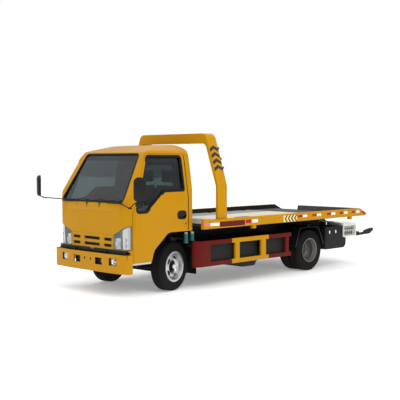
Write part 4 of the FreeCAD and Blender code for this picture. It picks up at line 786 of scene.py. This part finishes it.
LAMP_LOW = 0.6965
LAMP_SPLIT_Y = 0.668
for side, label in SIDES:
    whole = plan_path(0.501, 0.858)
    inner = [e for e in whole if e[1] <= LAMP_SPLIT_Y]
    outer = [e for e in whole if e[1] >= LAMP_SPLIT_Y]

    def top_of(path, by=0.0):
        return lambda t: lamp_top(path[round(t * (len(path) - 1))][1]) - by

    def facets(t):
        return -0.016 if round(t * (len(outer) - 1)) % 2 else -0.026
    bm = bmesh.new()
    nose_panel(bm, whole, LAMP_LOW, top_of(whole), -0.046, -0.052, side)
    nose_panel(bm, whole, LAMP_LOW, LAMP_LOW + 0.005, -0.004, -0.047, side, 0, 1)
    nose_panel(bm, whole, top_of(whole, 0.006), top_of(whole), -0.004, -0.047, side, 0, 1)
    for path in (whole[:2], whole[-2:], outer[-2:]):
        top = min(lamp_top(path[0][1]), lamp_top(path[1][1])) - 0.001
        nose_panel(bm, path, LAMP_LOW, top, -0.006, -0.047, side, 0, 2)
    # Reflecting floor of the inner lamp, the wedge over it and its projector
    nose_panel(bm, inner, LAMP_LOW + 0.006, 0.862, -0.034, -0.045, side, 4)
    nose_panel(bm, inner, 0.868, top_of(inner, 0.008), -0.012, -0.040, side, 2)
    projector = (0.892, side * 0.583, 0.776)
    turned_round_x(bm, [(-0.012, 0.066), (0.024, 0.066), (0.024, 0.060), (0.0, 0.050), (-0.006, 0.040)],
                   projector, 32, 1)
    turned_round_x(bm, [(0.0, 0.046), (0.012, 0.042), (0.022, 0.028), (0.026, 0.012), (0.027, 0.0)],
                   projector, 32, 3)
    # Faceted outer lamp with two small bulbs' cups
    nose_panel(bm, outer, LAMP_LOW + 0.008, top_of(outer, 0.012), facets, -0.040, side, 4, 9)
    for z in (0.755, 0.845):
        turned_round_x(bm, [(0.0, 0.006), (0.010, 0.022), (0.014, 0.026), (0.014, 0.032), (0.0, 0.030)],
                       (0.8945, side * 0.738, z), 24, 0)
    piece(f"headlamp_{label}_inside", bm, ["smoked", "reflector", "black_plastic", "lamp_lens", "clear_ribs"],
          "cab")
    bm = bmesh.new()
    nose_panel(bm, whole, LAMP_LOW, top_of(whole), -0.001, -0.004, side, 0, 6)
    piece(f"headlamp_{label}_cover", bm, "lamp_lens", "cab", stands_for=("headlamps",) if side > 0 else ())


# Cowl with black notches that are painted shade in its recesses, the black apron over the bumper and the black
# line over the grille, trim that also stands for painted shade under the grille

def on_cowl(p, depth):
    # The point (y, z) seen from the front, on the cowl and raised by depth
    return Vector((min(front_x(p[1]), 0.9745 - 0.12 * max(0.0, abs(p[0]) - 0.30)) + depth, p[0], p[1]))


# Black notches on the cowl, painted shade in its wiper recesses, and a black strip along the windscreen's foot
bm = bmesh.new()
for y in (-0.33, -0.07, 0.23, 0.51):
    skin(bm, ((y - 0.012, 1.306), (y - 0.002, 1.300), (y + 0.012, 1.350), (y + 0.045, 1.3735),
              (y - 0.034, 1.3735), (y - 0.010, 1.350)), on_cowl, 0.0012, -0.010)
block(bm, (0.938, 0.968), (-0.70, 0.70), (1.372, 1.388))
piece("cowl_notch_shade_and_strip", bm, "black_plastic", "cab")
# Black apron over the bumper and black band below the grille: trim that also stands for painted shade in the gap
# between them
bm = bmesh.new()
for low, high in ((-0.80, -0.394), (-0.358, 0.358), (0.394, 0.80)):
    block(bm, (0.895, 0.938), (low, high), (0.632, 0.672))
for side in (1, -1):
    block(bm, (0.850, 0.900), (side * 0.790, side * 0.846), (0.634, 0.672))
piece("nose_apron_trim_and_shade", bm, "black_plastic", "cab", 0.004)
bm = bmesh.new()
for side in (1, -1):
    nose_panel(bm, plan_path(0.0, 0.87), 0.6705, 0.6895, 0.0012, -0.004, side, 0, 1)
piece("nose_band_trim_and_shade", bm, "black_plastic", "cab")

# Steps, drip rails and the sills' silver edges: ribbed step plates whose upright strip is a painted highlight on
# the sill's edge
for side, label in SIDES:
    bm = bmesh.new()
    block(bm, (0.505, 0.895), (side * 0.712, side * 0.8495), (0.4735, 0.4765))
    # Upright silver strip on the sill: a painted highlight
    block(bm, (0.505, 0.895), (side * 0.8505, side * 0.8535), (0.474, 0.500))
    for k in range(9):
        x = 0.53 + 0.0425 * k
        block(bm, about(x, 0.012), (side * 0.73, side * 0.838), (0.4765, 0.4785))
    piece(f"cab_{label}_step_plate_and_highlight", bm, "rim_silver", "cab", 0.001)
    bm = bmesh.new()
    rail = [(0.600, 1.985), (0.545, 2.070), (0.475, 2.113), (-0.33, 2.113), (-0.372, 2.085), (-0.380, 2.02)]
    tube(bm, smooth_path([(x, side * (side_y(z) + 0.003), z) for x, z in rail]), 0.0055, 8)
    piece(f"cab_{label}_drip_rail", bm, "body_paint", "cab")

# Bumper: black plates behind its holes, painted shade inside them, fog lamps and tail lamps
TAIL_X = -4.80
bm = bmesh.new()
for y in (0.26, -0.26):
    block(bm, (0.972, 0.980), about(y, 0.085), (0.452, 0.566))
block(bm, (0.972, 0.980), (-0.10, 0.10), (0.500, 0.556))
piece("bumper_hole_backs", bm, "black_plastic", "chassis")
bm = bmesh.new()
for side in (1, -1):
    y, z = side * 0.575, 0.516
    block(bm, (0.958, 0.962), about(y, 0.068), about(z, 0.048))
    turned_round_x(bm, [(0.0, 0.030), (0.018, 0.046), (0.030, 0.050), (0.030, 0.054), (0.0, 0.050),
                        (0.0, 0.030)], (0.962, y, z), 32, 1)
    turned_round_x(bm, [(0.0, 0.012), (0.008, 0.010), (0.010, 0.0)], (0.964, y, z), 16, 1)
    turned_round_x(bm, [(0.0, 0.0), (0.0, 0.050), (0.004, 0.049), (0.008, 0.036), (0.010, 0.0)],
                   (0.985, y, z), 32, 2)
    low, high = sorted((side * 0.62, side * 0.90))
    block(bm, (TAIL_X - 0.006, TAIL_X), (low, high), (0.600, 0.700))
    block(bm, (TAIL_X - 0.022, TAIL_X - 0.004), (low + 0.006, high - 0.006), (0.606, 0.694))
    for k, mat in enumerate((3, 3, 4, 5, 3)):
        a = low + 0.010 + k * 0.0525
        block(bm, (TAIL_X - 0.0255, TAIL_X - 0.020), (a, a + 0.050), (0.611, 0.689), mat)
piece("fog_and_tail_lamps", bm,
      ["black_plastic", "reflector", "lamp_lens", "lamp_red", "amber", "reflect_white"],
      "chassis", 0.0015, stands_for=("chassis_lamps",))

# Arch lamps: a ribbed red lens in a rim
bm = bmesh.new()
for side in (1, -1):
    for share in (0.711, 0.506, 0.337):
        y, z = side * (1.022 - share * 0.275), 1.61 + share * 0.83
        verts = lathe(bm, [(0.0, 0.0), (0.0, 0.0248), (0.020, 0.0248), (0.022, 0.0225), (0.022, 0.0)], 32, 1)
        verts += lathe(bm, [(0.021, 0.0222), (0.032, 0.020), (0.037, 0.012), (0.039, 0.0)], 32, 0, closed=False)
        for radius in (0.008, 0.014):
            verts += lathe(bm, [(0.034, radius), (0.0395, radius), (0.0395, radius + 0.0015),
                                (0.034, radius + 0.0015)], 24)
        move(verts, shift(-0.965, y, z) @ Matrix.Rotation(math.pi / 2, 4, "Z"))
piece("arch_lamp_lenses", bm, ["lamp_red", "black_plastic"], "bed", stands_for=("arch_lamps",))

# Mirrors: heads in a frame with glass towards the driver, on bent arms; the left one has a small glass below
MIRROR_PLACE = (1.050, 1.222, 1.600)
for side, label in SIDES:
    bm = bmesh.new()
    head = rounded([(-0.092, -0.170, 0.05), (0.092, -0.170, 0.05), (0.092, 0.170, 0.07),
                    (-0.092, 0.170, 0.07)])
    verts = prism(bm, offset(head, -0.006), "x", (-0.014, 0.012))
    verts += prism(bm, head, "x", (-0.026, -0.012))
    verts += prism(bm, offset(head, -0.010), "x", (0.012, 0.0255), 0, 0.028)
    verts += prism(bm, offset(head, -0.014), "x", (-0.0262, -0.024), 1)
    for z in (-0.07, 0.07):
        verts += block(bm, (0.012, 0.024), (-0.03, 0.03), about(z, 0.02))
    if side > 0:
        low = rounded([(-0.06, -0.262, 0.035), (0.06, -0.262, 0.035), (0.06, -0.178, 0.02),
                       (-0.06, -0.178, 0.02)], 5)
        verts += prism(bm, low, "x", (-0.020, 0.006))
        verts += prism(bm, offset(low, -0.006), "x", (0.006, 0.020), 0, 0.02)
        verts += prism(bm, offset(low, -0.010), "x", (-0.0202, -0.018), 1)
    x, y, z = MIRROR_PLACE
    move(verts, shift(x, side * y, z) @ Matrix.Rotation(side * math.radians(27), 4, "Z"))
    if side > 0:
        arm = [(0.947, 0.66, 1.384), (0.958, 0.72, 1.372), (0.975, 0.93, 1.318), (1.000, 1.05, 1.390),
               (1.046, 1.218, 1.445), (1.046, 1.222, 1.50)]
    else:
        arm = [(0.953, -0.66, 1.388), (0.962, -0.74, 1.404), (1.010, -1.12, 1.412), (1.046, -1.222, 1.445),
               (1.046, -1.222, 1.50)]
    tube(bm, smooth_path(arm, 6), 0.0085, 12)
    foot = Vector(arm[0])
    rod(bm, foot - Vector((0.006, 0, 0.010)), foot + Vector((-0.001, 0, 0.012)), 0.020)
    elbow = Vector(arm[2])
    out = (Vector(arm[3]) - Vector(arm[1])).normalized()
    rod(bm, elbow - out * 0.035, elbow + out * 0.035, 0.0125, 14, 2)
    piece(f"mirror_{label}", bm, ["black_plastic", "mirror_glass", "arm_brown" if side < 0 else "black_plastic"],
          "cab", 0.0015, stands_for=("mirrors",) if side > 0 else ())


# Seats: stuffed cushions that bulge between their edges, with seams laid on them

CLOTH_FRAMES, SEAM_STEPS = 20, 12


def evaluated(thing):
    # A mesh of an object with its modifiers applied
    return bpy.data.meshes.new_from_object(thing.evaluated_get(bpy.context.evaluated_depsgraph_get()))


def stuffed(name, profile, low_y, high_y, seams=(), voxel=0.014, cap=0.022, fill=0.75):
    # A side profile drawn out between two y; cloth under pressure puffs it by at most cap, seams follow it
    inset = 0.008
    bm = bmesh.new()
    prism(bm, offset(rounded([(*p, 0.03) for p in profile], 4), -inset), "y", (low_y + inset, high_y - inset))
    bmesh.ops.recalc_face_normals(bm, faces=bm.faces)
    mesh = bpy.data.meshes.new(name + " start")
    bm.to_mesh(mesh)
    bm.free()
    mesh.transform(Matrix.Translation(SHIFT))
    start = new_object(name + " start", mesh)
    mod = start.modifiers.new("Even", "REMESH")
    mod.mode = "VOXEL"
    mod.voxel_size = voxel
    soft = start.modifiers.new("Round", "SMOOTH")
    soft.factor, soft.iterations = 0.5, 4
    even = evaluated(start)
    bpy.data.objects.remove(start)
    made = new_object(name, even)
    rest = [v.co.copy() for v in even.vertices]
    cloth = made.modifiers.new("Cloth", "CLOTH")
    cloth.settings.use_pressure = True
    cloth.settings.uniform_pressure_force = 4.0
    cloth.settings.effector_weights.gravity = 0.0
    cloth.settings.quality = 4
    for count in range(CLOTH_FRAMES):
        scene.frame_set(count + 1)
    puffed = evaluated(made)
    made.modifiers.clear()
    made.data = puffed
    for v, was in zip(puffed.vertices, rest):
        way = v.co - was
        if way.length > cap:
            v.co = was + way.normalized() * cap
    scene.frame_set(1)
    smooth = made.modifiers.new("Fine", "SUBSURF")
    smooth.levels = smooth.render_levels = 1
    made.data.materials.append(M["seat_fabric"])
    made.data.shade_smooth()
    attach(made, "cab")
    skin_of = BVHTree.FromPolygons([v.co for v in made.data.vertices],
                                   [list(f.vertices) for f in made.data.polygons])
    bm = bmesh.new()
    for seam in seams:
        on = []
        for a, b in zip(seam, seam[1:]):
            for k in range(SEAM_STEPS):
                p = Vector(a).lerp(Vector(b), k / SEAM_STEPS) + SHIFT
                hit, normal = skin_of.find_nearest(p)[:2]
                on.append(hit + normal * 0.0004 - SHIFT)
        tube(bm, on, 0.0028, 6)
    if seams:
        piece(name + "_seams", bm, "seal", "cab")
    return made


CUSHION = [(-0.19, 0.957), (0.36, 0.957), (0.375, 1.11), (-0.19, 1.07)]
BACKREST = [(-0.19, 1.0703), (-0.09, 1.0774), (-0.215, 1.64), (-0.30, 1.64)]
HEADREST = [(-0.30, 1.65), (-0.215, 1.65), (-0.235, 1.86), (-0.31, 1.86)]
for label, low_y, high_y, heads, between in (("driver", 0.165, 0.655, (0.41,), ()),
                                             ("bench", -0.655, 0.125, (-0.45, -0.07), (-0.265,))):
    lines = [low_y + 0.10, *between, high_y - 0.10]
    seams = [[(-0.17, y, 1.09), (0.37, y, 1.12), (0.40, y, 1.0)] for y in lines]
    seams.append([(0.24, low_y + 0.02, 1.12), (0.24, high_y - 0.02, 1.12)])
    stuffed(f"{label}_cushion", CUSHION, low_y, high_y, seams)
    seams = [[(-0.10, y, 1.10), (-0.20, y, 1.62)] for y in lines]
    seams.append([(-0.17, low_y + 0.02, 1.46), (-0.17, high_y - 0.02, 1.46)])
    stuffed(f"{label}_back", BACKREST, low_y, high_y, seams)
    for k, y in enumerate(heads):
        stuffed(f"{label}_headrest_{k + 1}", HEADREST, *about(y, 0.13), (), 0.012, 0.015, 0.8)
        bm = bmesh.new()
        for side in (1, -1):
            rod(bm, (-0.258, y + side * 0.06, 1.60), (-0.258, y + side * 0.06, 1.70), 0.006, 12)
        piece(f"{label}_headrest_posts_{k + 1}", bm, "chrome", "cab")
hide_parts("seats")


# Rear boxes' doors with two latches each, and side boxes

bm = bmesh.new()
for side in (1, -1):
    prism(bm, rectangle(-3.83, -4.23, 0.40, 0.72, 0.03, 4), "y", (side * 0.929, side * 0.935))
    for x in (-3.93, -4.13):
        block(bm, about(x, 0.014), (side * 0.934, side * 0.940), (0.637, 0.693), 1)
        block(bm, about(x, 0.008), (side * 0.939, side * 0.946), (0.645, 0.675), 1)
piece("rear_box_doors", bm, ["chassis_black", "chrome"], "chassis", 0.0015)
dress("side_box_skin", "side_boxes", "chassis_black", 0.004)


# Control boxes: a frame round a panel of levers

dress("control_box_skin", "control_boxes", "white_paint")
for side, label in SIDES:
    bm = bmesh.new()
    prism(bm, rectangle(-4.776, -4.394, 0.568, 0.748, 0.028, 5), "y", (side * 0.880, side * 0.8835))
    for k in range(6):
        x = -4.735 + k * 0.06
        block(bm, about(x, 0.016), (side * 0.8830, side * 0.890), (0.590, 0.640), 1)
        rod(bm, (x, side * 0.889, 0.618), (x + 0.006, side * 0.925, 0.690), 0.0045, 10, 2)
        rod(bm, (x + 0.005, side * 0.921, 0.682), (x + 0.008, side * 0.932, 0.705), 0.0095, 12, 1)
    rod(bm, (-4.41, side * 0.884, 0.70), (-4.41, side * 0.900, 0.70), 0.013, 16, 3)
    piece(f"control_panel_{label}", bm, ["label_pale", "black_plastic", "chrome", "lamp_red"], "chassis", 0.001)


# Oil bottles

BOTTLE_FOOT_Z, BOTTLE_CAP_Z = 0.6949, 0.843
dress("reservoir_bottles", "reservoirs", ["bottle_plastic", "white_paint", "chassis_black"], 0.004, 3,
      lambda c, n: 2 if c.z < BOTTLE_FOOT_Z else int(c.z > BOTTLE_CAP_Z), [((0, 0, BOTTLE_FOOT_Z), (0, 0, 1))])


# Deck details and winch

bm = bmesh.new()
block(bm, (-3.86, -1.28), (-0.95, -0.48), (DECK_Z + 0.0001, DECK_Z + 0.0022))
block(bm, (-2.46, -2.10), (0.165, 0.235), (DECK_Z + 0.0001, DECK_Z + 0.0018), 1)
for side in (1, -1):
    block(bm, (-0.925, -0.855), (side * 0.80, side * 0.86), (DECK_Z, DECK_Z + 0.060), 1)
for x in (-1.7, -2.7, -3.7):
    for y in (-0.99, 0.99):
        move(lathe(bm, [(-0.006, 0.030), (0.006, 0.030), (0.006, 0.042), (-0.006, 0.042)], 20, 2),
             shift(x, y, DECK_Z + 0.008) @ Matrix.Rotation(math.pi / 2, 4, "X"))
        block(bm, about(x, 0.018), about(y, 0.012), (DECK_Z, DECK_Z + 0.017), 2)
piece("deck_fittings", bm, ["mesh_steel", "black_plastic", "chassis_black"], "bed", 0.0008)
bm = bmesh.new()
profile = [(-0.1502, 0.0555)]
ROPE_TURNS = 25
for k in range(ROPE_TURNS):
    h = -0.148 + 0.296 * (k + 0.5) / ROPE_TURNS
    profile += [(h + dh, radius) for dh, radius in ((-0.0055, 0.0585), (-0.0030, 0.0632), (0, 0.0645),
                                                    (0.0030, 0.0632), (0.0055, 0.0585))]
profile += [(0.1502, 0.0555)]
move(lathe(bm, profile), shift(-0.915, 0, 1.095))
piece("winch_rope_winding", bm, "rope", "winch_drum")


# Stage, light and camera

def aim(thing, where, ahead):
    thing.location = where
    thing.rotation_mode = "QUATERNION"
    thing.rotation_quaternion = ahead.to_track_quat("-Z", "Y")


def light(name, where, target, size, power, colour=(1, 1, 1)):
    # A rectangular area light that looks at target
    data = bpy.data.lights.new(name, "AREA")
    data.shape = "RECTANGLE"
    data.size, data.size_y = size
    data.energy = power
    data.color = colour
    lamp = new_object(name, data)
    aim(lamp, where, Vector(target) - Vector(where))
    lamp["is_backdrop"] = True


# A sky that brightens upward in reflections and is plain white behind the part
WHITE = (1.0, 1.0, 1.0)
world = bpy.data.worlds.new("Pale studio")
world.use_nodes = True
tree = world.node_tree
split = node(tree, "SeparateXYZ")
wire(node(tree, "TexCoord"), "Generated", split, 0)
rise = node(tree, "MapRange", From_Min=-0.02, From_Max=0.55)
wire(split, "Z", rise, "Value")
sky = mixer(tree, (0.30, 0.34, 0.33), WHITE)
wire(rise, "Result", sky, "Factor")
seen = mixer(tree, WHITE, WHITE)
wire(node(tree, "LightPath"), "Is Camera Ray", seen, "Factor")
wire(sky, 2, seen, 6)
wire(seen, 2, tree.nodes["Background"], "Color")
scene.world = world
light("Key", (AX + 3.0, 9.0, 9.5), (AX - 1.0, 0, 0.9), (7, 5), 420, (1.0, 0.97, 0.92))
light("Front", (AX + 9.0, -2.0, 4.5), (AX - 0.5, 0, 1.2), (5, 4), 40)
light("Top", (0, 0, 9.0), (0, 0, 0), (9, 5), 160)

mesh = bpy.data.meshes.new("Floor")
FAR = 60
mesh.from_pydata([(-FAR, -FAR, 0), (FAR, -FAR, 0), (FAR, FAR, 0), (-FAR, FAR, 0)], [], [(0, 1, 2, 3)])
floor = new_object("Floor", mesh)
mesh.materials.append(surface("Pale ground", (0.93, 0.93, 0.93), 0.85, vary=0.01, scale=0.6,
                              Emission_Color=(1, 1, 1, 1), Emission_Strength=0.25))
floor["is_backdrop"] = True

# The camera as fitted to the photograph
CAMERA_PLACE = (AX + 8.560, 9.713, 2.011)
cam = new_object("Camera", bpy.data.cameras.new("Camera"))
cam.data.sensor_width = 36.0
cam.data.lens = 72.74
cam.data.shift_x, cam.data.shift_y = 0.0038, -0.0092
yaw, pitch = math.radians(-135.67), math.radians(-2.565)
ahead = Vector((math.cos(yaw) * math.cos(pitch), math.sin(yaw) * math.cos(pitch), math.sin(pitch)))
aim(cam, CAMERA_PLACE, ahead)
cam.data.clip_end = 200
scene.camera = cam
scene.view_settings.view_transform = "Standard"

low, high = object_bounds()
